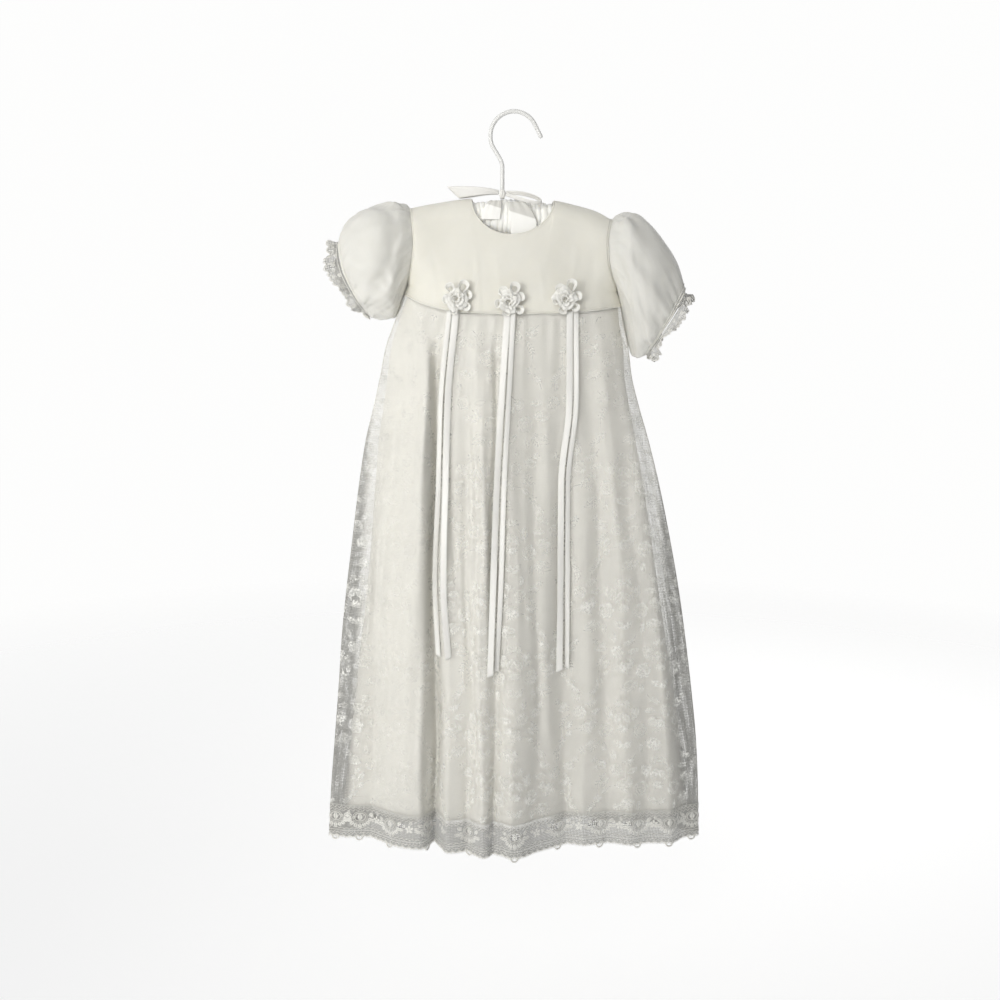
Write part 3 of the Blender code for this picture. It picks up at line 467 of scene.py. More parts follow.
def grid_faces(rows, columns, wraps=False, keep=None):
    r, c = np.meshgrid(np.arange(rows - 1), np.arange(columns if wraps else columns - 1), indexing="ij")
    if keep is not None:
        r, c = r[keep], c[keep]
    d = (c + 1) % columns
    quads = np.stack([r * columns + c, (r + 1) * columns + c, (r + 1) * columns + d, r * columns + d], -1)
    return quads.reshape(-1, 4).tolist()


def cloth_uv(points):
    """Lengths across and down a grid of points, in millimetres."""
    s = run_lengths(points, axis=1)
    s = s - s[:, [points.shape[1] // 2]]
    return np.stack([s, -run_lengths(points)], axis=-1)


def closed_uv(points):
    """cloth_uv of a grid whose rows close on themselves."""
    return cloth_uv(np.concatenate([points, points[:, :1]], axis=1))[:, :-1]


def add_grid(name, points, material, wraps=False, keep=None, uv=None, **more):
    if uv is None:
        uv = cloth_uv(points)
    faces = grid_faces(*points.shape[:2], wraps, keep)
    return add_object(name, points.reshape(-1, 3), faces, material, uv.reshape(-1, 2), **more)


class Parts:
    """Collects many small meshes, which become one object."""

    def __init__(self):
        self.points, self.faces, self.uv, self.count = [], [], [], 0

    def add(self, points, faces, uv=None):
        self.points.append(points)
        self.faces += (np.asarray(faces) + self.count).tolist()
        self.uv.append(points[:, :2] if uv is None else uv)
        self.count += len(points)

    def add_grid(self, points, wraps=False):
        flat = points.reshape(-1, 3)
        self.add(flat, grid_faces(*points.shape[:2], wraps), cloth_uv(points).reshape(-1, 2))

    def tube(self, path, radius, sides=5, closed=False):
        """A round cord along a path of points; radius is a number or one for each point."""
        path = np.asarray(path, float)
        if closed:
            tangent = np.roll(path, -1, axis=0) - np.roll(path, 1, axis=0)
        else:
            tangent = np.gradient(path, axis=0)
        tangent = unit(tangent)
        first = unit(np.cross(tangent, (0.31, 0.9, 0.27)))
        second = np.cross(tangent, first)
        angles = np.arange(sides) * 2 * math.pi / sides
        radius = np.broadcast_to(radius, len(path))[:, None, None]
        around = first[:, None] * np.cos(angles)[:, None] + second[:, None] * np.sin(angles)[:, None]
        points = path[:, None] + radius * around
        if closed:
            points = np.concatenate([points, points[:1]])
        self.add_grid(points[:, ::-1], wraps=True)

    def build(self, name, material, surface=None, **more):
        points = np.concatenate(self.points)
        uv = np.concatenate(self.uv)
        if surface is not None:
            points = surface.place(points)
        return add_object(name, points, self.faces, material, uv, **more)


# ---------------------------------------------------------------- materials

THREAD_DEPTH = 0.0002  # metres that the deepest bump stands for


def new_material(name, colour, roughness, **sockets):
    """A material whose values that are the same all over are set on the shader's own sockets."""
    made = bpy.data.materials.new(name)
    made.use_nodes = True
    nodes = made.node_tree.nodes
    shader = nodes["Principled BSDF"]
    shader.inputs["Base Color"].default_value = (*colour, 1.0)
    shader.inputs["Roughness"].default_value = roughness
    for key, value in sockets.items():
        shader.inputs[key.replace("_", " ")].default_value = value
    return made, made.node_tree, shader


def node(tree, kind, inputs=None, **settings):
    made = tree.nodes.new(kind)
    for key, value in settings.items():
        setattr(made, key, value)
    for key, value in (inputs or {}).items():
        if isinstance(value, bpy.types.NodeSocket):
            tree.links.new(value, made.inputs[key])
        else:
            made.inputs[key].default_value = value
    return made


def maths(tree, operation, a, b=0.0, c=0.0):
    return node(tree, "ShaderNodeMath", {0: a, 1: b, 2: c}, operation=operation).outputs[0]


def thread_height(tree, vector, warp, weft):
    """Height of a plain weave with that many threads in 100 mm each way."""
    split = node(tree, "ShaderNodeSeparateXYZ", {0: vector})
    warps = maths(tree, "SINE", maths(tree, "MULTIPLY", split.outputs[0], warp * 2 * math.pi))
    wefts = maths(tree, "SINE", maths(tree, "MULTIPLY", split.outputs[1], weft * 2 * math.pi))
    return maths(tree, "ADD", maths(tree, "ABSOLUTE", warps), maths(tree, "ABSOLUTE", wefts))


def mottle(tree, shader, colour, darker, scale, vector=None):
    """Slightly uneven colour."""
    inputs = {"Scale": scale, "Detail": 5.0, "Roughness": 0.6}
    if vector is not None:
        inputs["Vector"] = vector
    noise = node(tree, "ShaderNodeTexNoise", inputs)
    ramp = node(tree, "ShaderNodeValToRGB", {0: noise.outputs["Fac"]})
    ramp.color_ramp.elements[0].position, ramp.color_ramp.elements[1].position = 0.35, 0.7
    ramp.color_ramp.elements[0].color = (*[c * darker for c in colour], 1.0)
    ramp.color_ramp.elements[1].color = (*colour, 1.0)
    tree.links.new(ramp.outputs[0], shader.inputs["Base Color"])


def cloth_material(name, colour, roughness, darker, scale, **sockets):
    """A mottled cloth material, and the coordinates that lie along the cloth."""
    made, tree, shader = new_material(name, colour, roughness, **sockets)
    vector = node(tree, "ShaderNodeUVMap", uv_map="cloth").outputs[0]
    mottle(tree, shader, colour, darker, scale, vector)
    return made, tree, shader, vector


def object_vector(tree):
    return node(tree, "ShaderNodeTexCoord").outputs["Object"]


def object_place(tree):
    """x, y and z in metres."""
    return node(tree, "ShaderNodeSeparateXYZ", {0: object_vector(tree)}).outputs


def noise_of(tree, vector, scale, detail):
    inputs = {"Vector": vector, "Scale": scale, "Detail": detail}
    return node(tree, "ShaderNodeTexNoise", inputs).outputs["Fac"]


def cell_edges(tree, vector, scale, randomness):
    """How far a point lies from the edge of its cell, for holes between threads."""
    return node(
        tree, "ShaderNodeTexVoronoi", {"Vector": vector, "Scale": scale, "Randomness": randomness},
        feature="DISTANCE_TO_EDGE", voronoi_dimensions="2D",
    ).outputs["Distance"]


def ranged(tree, value, low, high, at_low, at_high):
    return node(tree, "ShaderNodeMapRange", {0: value, 1: low, 2: high, 3: at_low, 4: at_high}).outputs[0]


def bump(tree, shader, height, strength):
    made = node(tree, "ShaderNodeBump", {"Height": height, "Strength": strength, "Distance": THREAD_DEPTH})
    tree.links.new(made.outputs[0], shader.inputs["Normal"])


def uneven_gloss(tree, shader, noise, roughness, glossier, duller):
    uneven = ranged(tree, noise, 0.0, 1.0, roughness - glossier, roughness + duller)
    tree.links.new(uneven, shader.inputs["Roughness"])


def recolour(tree, shader, share, colour):
    """Another colour in place of the mottled one, where share is 1."""
    plain = shader.inputs["Base Color"].links[0].from_socket
    mixed = node(tree, "ShaderNodeMix", {0: share, 6: plain, 7: (*colour, 1.0)}, data_type="RGBA")
    tree.links.new(mixed.outputs[2], shader.inputs["Base Color"])


def woven(name, colour, roughness, threads, depth, streak, **sockets):
    """Woven cloth: fine threads, soft slubs and slightly uneven colour and gloss."""
    made, tree, shader, vector = cloth_material(name, colour, roughness, 0.93, 1.6, **sockets)
    stretched = node(tree, "ShaderNodeMapping", {"Vector": vector, "Scale": (3.0, 60.0, 1.0)}).outputs[0]
    slubs = noise_of(tree, stretched, 4.0, 3.0)
    weave = maths(tree, "MULTIPLY", thread_height(tree, vector, *threads), 0.5)
    height = maths(tree, "ADD", weave, maths(tree, "MULTIPLY", slubs, streak))
    bump(tree, shader, height, depth)
    uneven_gloss(tree, shader, slubs, roughness, 0.05, 0.08)
    return made


def paint_shade_above(made, colour, slope, level):
    """Painted shade on a ribbon: it is darker above a slanting line, for its upper part in shade."""
    tree, shader = made.node_tree, made.node_tree.nodes["Principled BSDF"]
    x, _, z = object_place(tree)
    line = maths(tree, "MULTIPLY_ADD", x, slope, z)
    recolour(tree, shader, ranged(tree, line, level, level + 0.0012, 0.0, 1.0), colour)


def make_net():
    """Fine hexagonal net: round-cornered holes between threads, closer in the skirt's border. Where no lining
    lies behind it, it is painted dark grey: painted shade.
    """
    # The second colour is painted shade: dark grey for the net where no lining lies behind it
    colour, unlined_painted_shade = (0.82, 0.81, 0.76), (0.36, 0.355, 0.335)
    made, tree, shader, vector = cloth_material("net", colour, 0.8, 0.93, 3.0, Sheen_Weight=0.2)
    x, _, z = object_place(tree)
    left, right = (maths(tree, "ADD", x, maths(tree, "MULTIPLY_ADD", z, *line)) for line in STRIP_LINES)
    # Bare is 1 where no lining lies behind the net: past the lining's sides and below its hem. There the net
    # takes painted shade, a dark grey for the shadowed inside of the skirt seen through it
    past_left = ranged(tree, left, 0.0, 0.006, 1.0, 0.0)
    past_right = ranged(tree, right, -0.006, 0.0, 0.0, 1.0)
    below = ranged(tree, z, -0.694, -0.688, 1.0, 0.0)
    below = maths(tree, "MULTIPLY", below, ranged(tree, x, 0.0, 0.05, 1.0, 0.85))
    bare = maths(tree, "MAXIMUM", maths(tree, "MAXIMUM", past_left, past_right), below)
    recolour(tree, shader, bare, unlined_painted_shade)
    closer = maths(tree, "MULTIPLY_ADD", below, 0.10, maths(tree, "MULTIPLY", bare, 0.10))
    edges = maths(tree, "SUBTRACT", cell_edges(tree, vector, 60.0, 0.22), closer)
    threads = ranged(tree, edges, 0.09, 0.15, 1.0, 0.0)
    tree.links.new(threads, shader.inputs["Alpha"])
    bump(tree, shader, threads, 0.5)
    return made


def make_eye_shade_net():
    """Coarser net inside the eyes of the border, painted near black: painted shade for the hollow of the
    skirt seen through the eyes.
    """
    made, tree, shader, vector = cloth_material("eye_shade_net", (0.24, 0.235, 0.22), 0.8, 0.9, 3.0)
    threads = ranged(tree, cell_edges(tree, vector, 42.0, 0.1), 0.2, 0.27, 1.0, 0.0)
    tree.links.new(threads, shader.inputs["Alpha"])
    return made


def make_lace_thread(name, colour, on_skirt):
    """Cloth stitch of petals and leaves. On the skirt it is open and feathery, and fades out upward."""
    made, tree, shader, vector = cloth_material(name, colour, 0.78, 0.9, 6.0, Sheen_Weight=0.2)
    rows = node(
        tree, "ShaderNodeTexWave", {"Vector": vector, "Scale": 55.0, "Distortion": 2.5, "Detail": 2.0},
        bands_direction="DIAGONAL",
    ).outputs["Fac"]
    bump(tree, shader, rows, 0.3)
    cover = ranged(tree, cell_edges(tree, vector, 110.0, 0.6), 0.2, 0.34, 1.0, 0.5)
    if on_skirt:
        x, y, z = object_place(tree)
        tufts, patches = (noise_of(tree, object_vector(tree), scale, 3.0) for scale in (420.0, 75.0))
        # On one fold at the left of the front the lace motifs thin out: a painted highlight, where the light
        # washes them out
        left_of_it = ranged(tree, x, -0.154, -0.142, 1.0, 0.25)
        right_of_it = ranged(tree, x, -0.092, -0.082, 0.25, 1.0)
        behind_it = ranged(tree, y, -0.002, 0.002, 0.0, 1.0)
        off_highlit_fold = maths(tree, "MAXIMUM", maths(tree, "MAXIMUM", left_of_it, right_of_it), behind_it)
        for share in (
            ranged(tree, tufts, 0.42, 0.58, 0.35, 1.0), ranged(tree, patches, 0.42, 0.6, 0.4, 1.0),
            ranged(tree, z, -0.50, -0.28, 1.0, 0.5), off_highlit_fold,
        ):
            cover = maths(tree, "MULTIPLY", cover, share)
    tree.links.new(cover, shader.inputs["Alpha"])
    return made


def make_cord():
    """Twisted thread of the lace's outlines."""
    colour = (0.80, 0.79, 0.745)
    made, tree, shader, vector = cloth_material("lace_cord", colour, 0.72, 0.9, 9.0, Sheen_Weight=0.25)
    inputs = {"Vector": vector, "Scale": 70.0, "Distortion": 1.0}
    twist = node(tree, "ShaderNodeTexWave", inputs, bands_direction="DIAGONAL")
    bump(tree, shader, twist.outputs["Fac"], 0.5)
    return made


def make_hard(name, colour, roughness, darker, scale, **sockets):
    """Smooth coating with faint unevenness."""
    made, tree, shader = new_material(name, colour, roughness, **sockets)
    mottle(tree, shader, colour, darker, scale)
    noise = noise_of(tree, object_vector(tree), scale * 4, 2.0)
    bump(tree, shader, noise, 0.03)
    uneven_gloss(tree, shader, noise, roughness, 0.06, 0.08)
    return made


NET = make_net()
EYE_SHADE_NET = make_eye_shade_net()
LACE = make_lace_thread("lace_thread", (0.84, 0.83, 0.78), False)
ROSES = make_lace_thread("skirt_lace_thread", (0.93, 0.925, 0.88), True)
CORD = make_cord()
SOFT_LIGHT = {
    "Subsurface_Weight": 0.4, "Subsurface_Radius": (1.0, 0.96, 0.85), "Subsurface_Scale": 0.003,
    "Sheen_Weight": 0.25, "Sheen_Roughness": 0.45,
}
ORGANZA = woven("organza", (0.80, 0.778, 0.69), 0.62, (230, 230), 0.35, 0.5, **SOFT_LIGHT)
SHEER = woven("sheer_organza", (0.80, 0.785, 0.715), 0.6, (210, 210), 0.4, 0.5, **SOFT_LIGHT)
SATIN = woven("lining_satin", (0.825, 0.81, 0.755), 0.45, (90, 330), 0.25, 0.8, Sheen_Weight=0.15)
GLOW = {"Subsurface_Weight": 0.3, "Subsurface_Radius": (1.0, 0.96, 0.88), "Subsurface_Scale": 0.003}
RIBBON = woven("ribbon_satin", (0.86, 0.85, 0.805), 0.38, (60, 380), 0.2, 0.7, **GLOW)
# The pad's satin is lighter than the lining's: painted light against the shade inside the neck
BRIGHTENED_PAD_SATIN = woven("pad_satin", (0.96, 0.955, 0.91), 0.32, (80, 330), 0.25, 0.8, **GLOW)
# The bow's loops and knot use a greyer copy of the ribbon satin: painted shade
BOW = woven("bow_ribbon", (0.80, 0.79, 0.755), 0.4, (60, 380), 0.2, 0.7, Sheen_Weight=0.1)
BOW_END = woven("bow_ribbon_end", (0.88, 0.875, 0.84), 0.45, (60, 380), 0.2, 0.7, Sheen_Weight=0.1)
# The bow's ends are painted darker above a slanting line: painted shade on their upper part
paint_shade_above(BOW_END, (0.60, 0.59, 0.55), 0.3, -0.0935)
THREAD = make_hard("sewing_thread", (0.80, 0.79, 0.72), 0.7, 0.85, 300.0)
COATING = make_hard("white_coating", (0.74, 0.74, 0.72), 0.38, 0.95, 40.0, Coat_Weight=0.2)
PEARL = make_hard("button_pearl", (0.82, 0.815, 0.77), 0.22, 0.9, 120.0, Coat_Weight=0.5)


# ---------------------------------------------------------------- skirt

def border_places(panel):
    """s of the middle of each repeat of the border, at the height of its eyes."""
    shares = (np.arange(REPEATS) + 0.5) / REPEATS
    return panel.s_of(across_places(shares), np.full(REPEATS, EYE_T))


def edge_height(s):
    """The net's lower edge: a chain of small scallops."""
    return 6.4 - 1.7 * np.abs(np.sin(math.pi * s / SCALLOP))


def build_net(half, name, solid):
    panel = PANELS[half]
    u = across_places(np.linspace(0, 1, 521))
    q = spaced((0, 0.06, 0.9, 1), (14, 78, 42))
    low = HEM_Z + edge_height(panel.s_of(u, np.full(len(u), 6.0)))
    z = lerp(seam_z(u)[None, :] - SEAM_GAP / 2, low[None, :], q[:, None])
    points = skirt(half, u[None, :], z)
    s = run_lengths(points, axis=1)
    uv = np.stack([s - s[:, [len(u) // 2]], z - HEM_Z], axis=-1)
    middle = (uv[1:, 1:] + uv[:-1, :-1]) / 2
    keep = np.ones(middle.shape[:2], bool)
    for centre in border_places(panel):
        aside, above = (middle[..., 0] - centre) / EYE_HALF_S, (middle[..., 1] - EYE_T) / EYE_HALF_T
        keep &= aside ** 2 + above ** 2 > 1.0
    if half > 0:
        points, uv, keep = points[:, ::-1], uv[:, ::-1], keep[:, ::-1]
    # The eyes are filled with a dark net: painted shade for the hollow seen through them
    eyes = add_grid(f"{name}_eyes", points, EYE_SHADE_NET, keep=~keep, uv=uv, slot="lace")
    return add_grid(name, points, NET, keep=keep, uv=uv, replaces=[solid], slot="lace"), eyes


def build_side_seams():
    """Front and back lace are joined down each side by a narrow rolled seam."""
    made = []
    for side, where in enumerate(("left", "right")):
        z = np.linspace(float(seam_z((-1.0, 1.0)[side])) - SEAM_GAP, HEM_Z + 7.0, 150)
        seam = Parts()
        seam.tube(np.column_stack([side_x(z, side), 0 * z, z]), SIDE_SEAM_GAP * 0.7, 6)
        made.append(seam.build(f"side_seam_{where}", CORD, slot="lace"))
    return made


def petal(centre, angle, spread_angle, inner, outer, lift, dome, steps=8):
    """A crescent of cloth stitch between two radii, as a grid of (s, t, lift)."""
    tau = np.linspace(0, 1, steps + 1)
    turn = angle + spread_angle * (2 * tau - 1)
    bulge = np.sin(math.pi * np.clip(tau, 0.03, 0.97)) ** 0.55
    rows = []
    for v in (0.0, 0.5, 1.0):
        radius = inner * (1 - 0.1 * bulge) + (outer - inner) * bulge * v
        height = lift + dome * math.sin(math.pi * (0.15 + 0.7 * v)) * bulge
        s, t = centre[0] + radius * np.cos(turn), centre[1] + radius * np.sin(turn)
        rows.append(np.stack([s, t, height], -1))
    return np.array(rows)


def leaf(parts, base, angle, length, width, lift):
    """Two halves either side of a vein."""
    tau = np.linspace(0, 1, 8)
    along = np.array((math.cos(angle), math.sin(angle)))
    aside = np.array((-along[1], along[0]))
    for sign in (-1, 1):
        rows = []
        for v in (0.0, 1.0):
            jag = 1 + 0.12 * np.cos(5 * math.pi * tau)
            off = 0.25 + v * width / 2 * np.sin(math.pi * np.clip(tau, 0.04, 0.96)) ** 0.8 * jag
            bend = 0.08 * length * tau ** 2
            place = np.array(base) + tau[:, None] * length * along + (sign * off + bend)[:, None] * aside
            height = np.full(len(tau), lift) + 0.15 * (1 - v)
            rows.append(np.column_stack([place, height]))
        parts.add_grid(np.array(rows))


def stem(start, end, bend, width, lift):
    """A flat strip that bends from start to end, as a grid of (s, t, lift)."""
    tau = np.linspace(0, 1, 10)[:, None]
    start, end = np.array(start, float), np.array(end, float)
    aside = unit(np.array((start[1] - end[1], end[0] - start[0])))
    middle = lerp(start, end, tau) + aside * bend * np.sin(math.pi * tau)
    rows = []
    for off in (-width / 2, width / 2):
        rows.append(np.column_stack([middle + aside * off, np.full(10, lift)]))
    return np.array(rows)


def rose(parts, centre, size, turn):
    """A rose seen from above: three rings of petals round a bud."""
    rings = (
        # petals, half angle, inner and outer radius as shares of the size, lift, dome
        (6, 0.62, 0.66, 1.0, 0.06, 0.08), (5, 0.74, 0.39, 0.65, 0.1, 0.08),
        (3, 1.05, 0.15, 0.37, 0.14, 0.06), (1, 3.0, 0.02, 0.13, 0.18, 0.04),
    )
    for n, (count, half_angle, inner, outer, lift, dome) in enumerate(rings):
        for k in range(count):
            angle = turn + 0.5 * n + 2 * math.pi * k / count
            uneven = 1 + 0.08 * math.cos(5 * angle + n)
            parts.add_grid(petal(centre, angle, half_angle, inner * size, outer * size * uneven, lift, dome))


def blossom(parts, centre, size, turn):
    for k in range(5):
        parts.add_grid(petal(centre, turn + k * 0.4 * math.pi, 0.56, 0.25 * size, size, 0.08, 0.1, 6))
    parts.add_grid(petal(centre, turn, 3.0, 0.02 * size, 0.2 * size, 0.3, 0.1, 8))


# s, t, radius and turn of each flower in one repeat of the lace
CLUSTER_ROSES = ((18.0, 22.0, 8.8, 0.2), (46.0, 43.0, 7.2, 1.0))
CLUSTER_BLOSSOMS = ((64.0, 12.0, 5.0, 0.3), (4.0, 52.0, 4.6, 0.9), (69.0, 54.0, 3.6, 0.1))
CLUSTER_LEAVES = (
    # s, t, direction in degrees, length, width
    (30.0, 27.0, 12, 15, 7.5), (28.0, 13.0, -28, 14, 7), (8.0, 32.0, 128, 13, 6.5), (14.0, 35.0, 82, 13, 6.5),
    (9.0, 12.0, 215, 12, 6), (20.0, 9.5, 268, 10, 5), (35.0, 42.0, 172, 12, 6), (48.0, 53.0, 80, 10, 5.5),
    (56.0, 45.0, 8, 13, 6.5), (53.0, 34.0, -50, 12, 6), (41.0, 33.5, 238, 9, 4.5), (60.0, 17.0, 140, 9, 4.5),
)
CLUSTER_STEMS = (
    # start, end, bend
    ((28.0, 28.0), (38.0, 36.0), 1.5), ((56.0, 40.0), (64.0, 17.0), 4.0), ((12.0, 33.0), (4.0, 50.0), -3.0),
    ((64.0, 8.0), (74.0, -6.0), 2.5), ((56.0, 49.0), (68.0, 54.0), -2.0), ((24.0, 12.0), (42.0, 4.0), -4.0),
    ((40.0, 52.0), (26.0, 60.0), 3.0), ((33.0, 20.0), (52.0, 24.0), 3.5), ((6.0, 24.0), (-6.0, 33.0), 3.0),
)
SPRIG_LEAVES = 5  # pairs of tiny leaves along each stem
CELL = (79.0, 62.0)  # width and height of the repeat
CELL_ROWS, RICH_ROWS = 9, 6  # rows of repeats above the border, and how many have all their motifs


def cluster(parts, s, t, flip, rich):
    """One repeat of the lace's roses and leaves."""
    def spot(a, b):
        return s + (CELL[0] - a if flip else a), t + b

    def turned(degrees):
        return math.radians(180 - degrees if flip else degrees)

    for a, b, size, turn in CLUSTER_ROSES:
        rose(parts, spot(a, b), size, turn)
    for a, b, size, turn in CLUSTER_BLOSSOMS[:3 if rich else 1]:
        blossom(parts, spot(a, b), size, turn)
    for a, b, degrees, length, width in CLUSTER_LEAVES[:12 if rich else 9]:
        leaf(parts, spot(a, b), turned(degrees), length, width, 0.08)
    for start, end, bend in CLUSTER_STEMS[:9 if rich else 6]:
        line = stem(spot(*start), spot(*end), -bend if flip else bend, 0.9, 0.15)
        parts.add_grid(line)
        for k in range(SPRIG_LEAVES):
            here, after = line[0, 1 + k], line[0, 2 + k]
            angle = math.atan2(after[1] - here[1], after[0] - here[0])
            for sign in (-1, 1):
                away = np.array((math.cos(angle + sign), math.sin(angle + sign)))
                parts.add_grid(stem(here[:2], here[:2] + 3.4 * away, 0.5, 1.3, 0.12)[:, ::3])


def trimmed(parts, panel, low, high):
    """Leaves out faces below low, less than high under the seam, or within 1 mm of the cloth's sides."""
    points = np.concatenate(parts.points)
    half_seam = 130.0  # half the length of the cloth's upper edge
    top = seam_z(np.clip(points[:, 0] / half_seam, -1, 1)) - HEM_Z - high
    row, _ = panel.row(points[:, 1])
    inside = (points[:, 0] > panel.s[row, 0] + 1.0) & (points[:, 0] < panel.s[row, -1] - 1.0)
    inside &= (points[:, 1] > low) & (points[:, 1] < top)
    faces = np.array(parts.faces)
    used = faces[inside[faces].all(axis=1)]
    numbers, where = np.unique(used, return_inverse=True)
    made = Parts()
    made.add(points[numbers], where.reshape(used.shape), np.concatenate(parts.uv)[numbers])
    return made


def build_roses(half, name):
    panel = PANELS[half]
    parts = Parts()
    for j in range(CELL_ROWS):
        t = 41.0 + j * CELL[1]
        shift = 0.5 * (j % 2)
        for i in range(-4, 4):
            cluster(parts, (i + shift) * CELL[0], t, (i + j) % 2 == 1, j < RICH_ROWS)
            if j < 2:
                blossom(parts, ((i + shift + 0.46) * CELL[0], t + 3.0), 4.2, 0.5)
    return trimmed(parts, panel, 38.0, 5.0).build(name, ROSES, panel, slot="lace")


def oval(centre, half_s, half_t, lift):
    angles = circle(22)
    s, t = centre[0] + half_s * np.cos(angles), centre[1] + half_t * np.sin(angles)
    return np.column_stack([s, t, 0 * s + lift])


def wavy(from_s, to_s, t, size, pitch, lift, pointed):
    """A wave about height t: zigzags, or a chain of arches."""
    count = int((to_s - from_s) / pitch * 6)
    s = np.linspace(from_s, to_s, count)
    phase = s / pitch * 2 * math.pi
    wave = np.arcsin(np.sin(phase)) / (math.pi / 2) if pointed else np.abs(np.sin(phase / 2)) * 2 - 1
    return np.column_stack([s, t + size * wave, np.full(count, lift)])


CORD_LIFT = 0.3  # of the border's cords off the net
BORDER_WAVES = (
    # t, half height, length of a wave, radius of the cord, pointed
    (36.5, 1.6, 5.0, 0.4, True), (33.6, 1.3, 5.0, 0.4, True), (38.6, 0.15, 9.0, 0.35, False),
    (13.6, 0.9, 5.6, 0.4, False), (11.2, 0.15, 9.0, 0.45, False), (8.6, 1.0, 3.6, 0.35, True),
)
HANGING_LOOP = (
    # s from the middle of the repeat, t
    (-4.4, 6.2), (-3.8, 4.2), (-3.1, 2.4), (-1.8, 1.0), (0.0, 0.6), (1.8, 1.0), (3.1, 2.4), (3.8, 4.2),
    (4.4, 6.2),
)


def build_border(half, name):
    """Cords, eyes, fans, scallops and hanging loops of the lace border."""
    panel = PANELS[half]
    cords, fills = Parts(), Parts()

    def cord(path, radius, sides, closed=False):
        cords.tube(panel.place(path), radius, sides, closed)

    left, right = panel.width(EYE_T)
    left, right = left + 1.0, right - 1.0
    for t, size, pitch, radius, pointed in BORDER_WAVES:
        cord(wavy(left, right, t, size, pitch, CORD_LIFT, pointed), radius, 4)
    count = int((right - left) / 0.9)
    s = np.linspace(left, right, count)
    cord(np.column_stack([s, edge_height(s), np.full(count, 0.1)]), 0.75, 5)
    pitch = SCALLOP / 2
    for tip in np.arange(math.ceil(left / pitch), math.floor(right / pitch)) * pitch + pitch / 2:
        edge = float(edge_height(tip))
        arc = np.linspace(0, math.pi, 6)
        cord(np.column_stack([tip + 1.3 * np.cos(arc), edge - 2.0 * np.sin(arc), np.full(6, 0.2)]), 0.42, 4)
    middles = border_places(panel)
    for s in middles:
        cord(oval((s, EYE_T), 5.8, 4.4, CORD_LIFT), 0.6, 5, closed=True)
        cord(oval((s, EYE_T), 7.6, 6.0, CORD_LIFT), 0.42, 4, closed=True)
        for slope in (-4.2, 4.2):
            cord(np.array([(s, 22.4, 0.2), (s + slope * 0.55, 25.6, 0.2), (s + slope, 28.4, 0.2)]), 0.3, 3)
        leaf(fills, (s, 22.0), math.pi / 2, 7.8, 4.4, CORD_LIFT)
        for n in range(7):
            angle = math.radians(-162 + 24 * n)
            start = (s + 8.2 * math.cos(angle), EYE_T + 6.6 * math.sin(angle))
            leaf(fills, start, angle, 6.6 if n == 3 else 5.6, 3.6, CORD_LIFT)
        for side in (-1, 1):
            for n, length in ((0, 6.1), (1, 5.5)):
                start = (s + side * (9.0 + 2.5 * n), 27.0 - 4.5 * n)
                leaf(fills, start, math.pi / 2 - side * (0.9 + 0.5 * n), length, 3.0, CORD_LIFT)
        cord(np.array([(s + aside, t, 0.2) for aside, t in HANGING_LOOP]), 0.95, 6)
    ends = np.concatenate([[left - 18.0], middles, [right + 18.0]])
    for s in (ends[:-1] + ends[1:]) / 2:
        blossom(fills, (s, 24.5), 4.6, 0.4)
        for angle in (0.15, 1.4, 2.7):
            leaf(fills, (s + 4.8 * math.cos(angle), 24.5 + 4.8 * math.sin(angle)), angle, 4.6, 2.6, CORD_LIFT)
    made = cords.build(f"{name}_cords", CORD, slot="lace")
    filled = trimmed(fills, panel, 6.0, 5.0).build(f"{name}_fans", LACE, panel, slot="lace")
    return [made, filled]


def build_lining(half, name, solid):
    u = across_places(np.linspace(0, 1, 301))
    q = spaced((0, 0.05, 0.96, 1), (8, 92, 14))
    top = seam_z(0.95 * u) - SEAM_GAP
    z = lerp(top[None, :], LINING_HEM_Z, q[:, None])
    points = lining(half, u[None, :], z)
    above = z - LINING_HEM_Z
    # The turned hem: a soft ridge at its top and a rolled edge
    roll = 0.35 * np.exp(-((above - 11.0) / 0.9) ** 2) - 0.45 * np.exp(-(above / 1.2) ** 2)
    points[..., 1] -= half * roll * side_turn(u)
    if half > 0:
        points = points[:, ::-1]
    made = add_grid(name, points, SATIN, wall=0.5, replaces=[solid], slot="lining_satin")
    stitches = Parts()
    shares = np.linspace(0.01, 0.99, 260)
    for start, end in zip(shares[:-1:2], shares[1::2]):
        places = across_places(np.array([start, (start + end) / 2, end]))
        line = lining(half, places, np.full(3, LINING_HEM_Z + 9.4))
        line[:, 1] += half * 0.12
        stitches.tube(line, 0.16, 3)
    hem = stitches.build(f"{name}_hem_stitches", THREAD, slot="lining_satin")
    return made, hem


# ---------------------------------------------------------------- bodice

def lap_lift(x):
    return 1.8 * smoothstep((x + 2 * LAP) / 7.0)


def yoke_columns(from_x, to_x):
    near = NECK_HALF_WIDTH
    ends = [near - 0.02, near - 0.5, near - 1.5, near - 3.5]
    x = np.concatenate([np.linspace(-YOKE_HALF, YOKE_HALF, 131), ends, np.negative(ends), [near, -near]])
    x = np.unique(np.round(x, 3))
    return np.concatenate([[from_x], x[(x > from_x + 0.2) & (x < to_x - 0.2)], [to_x]])


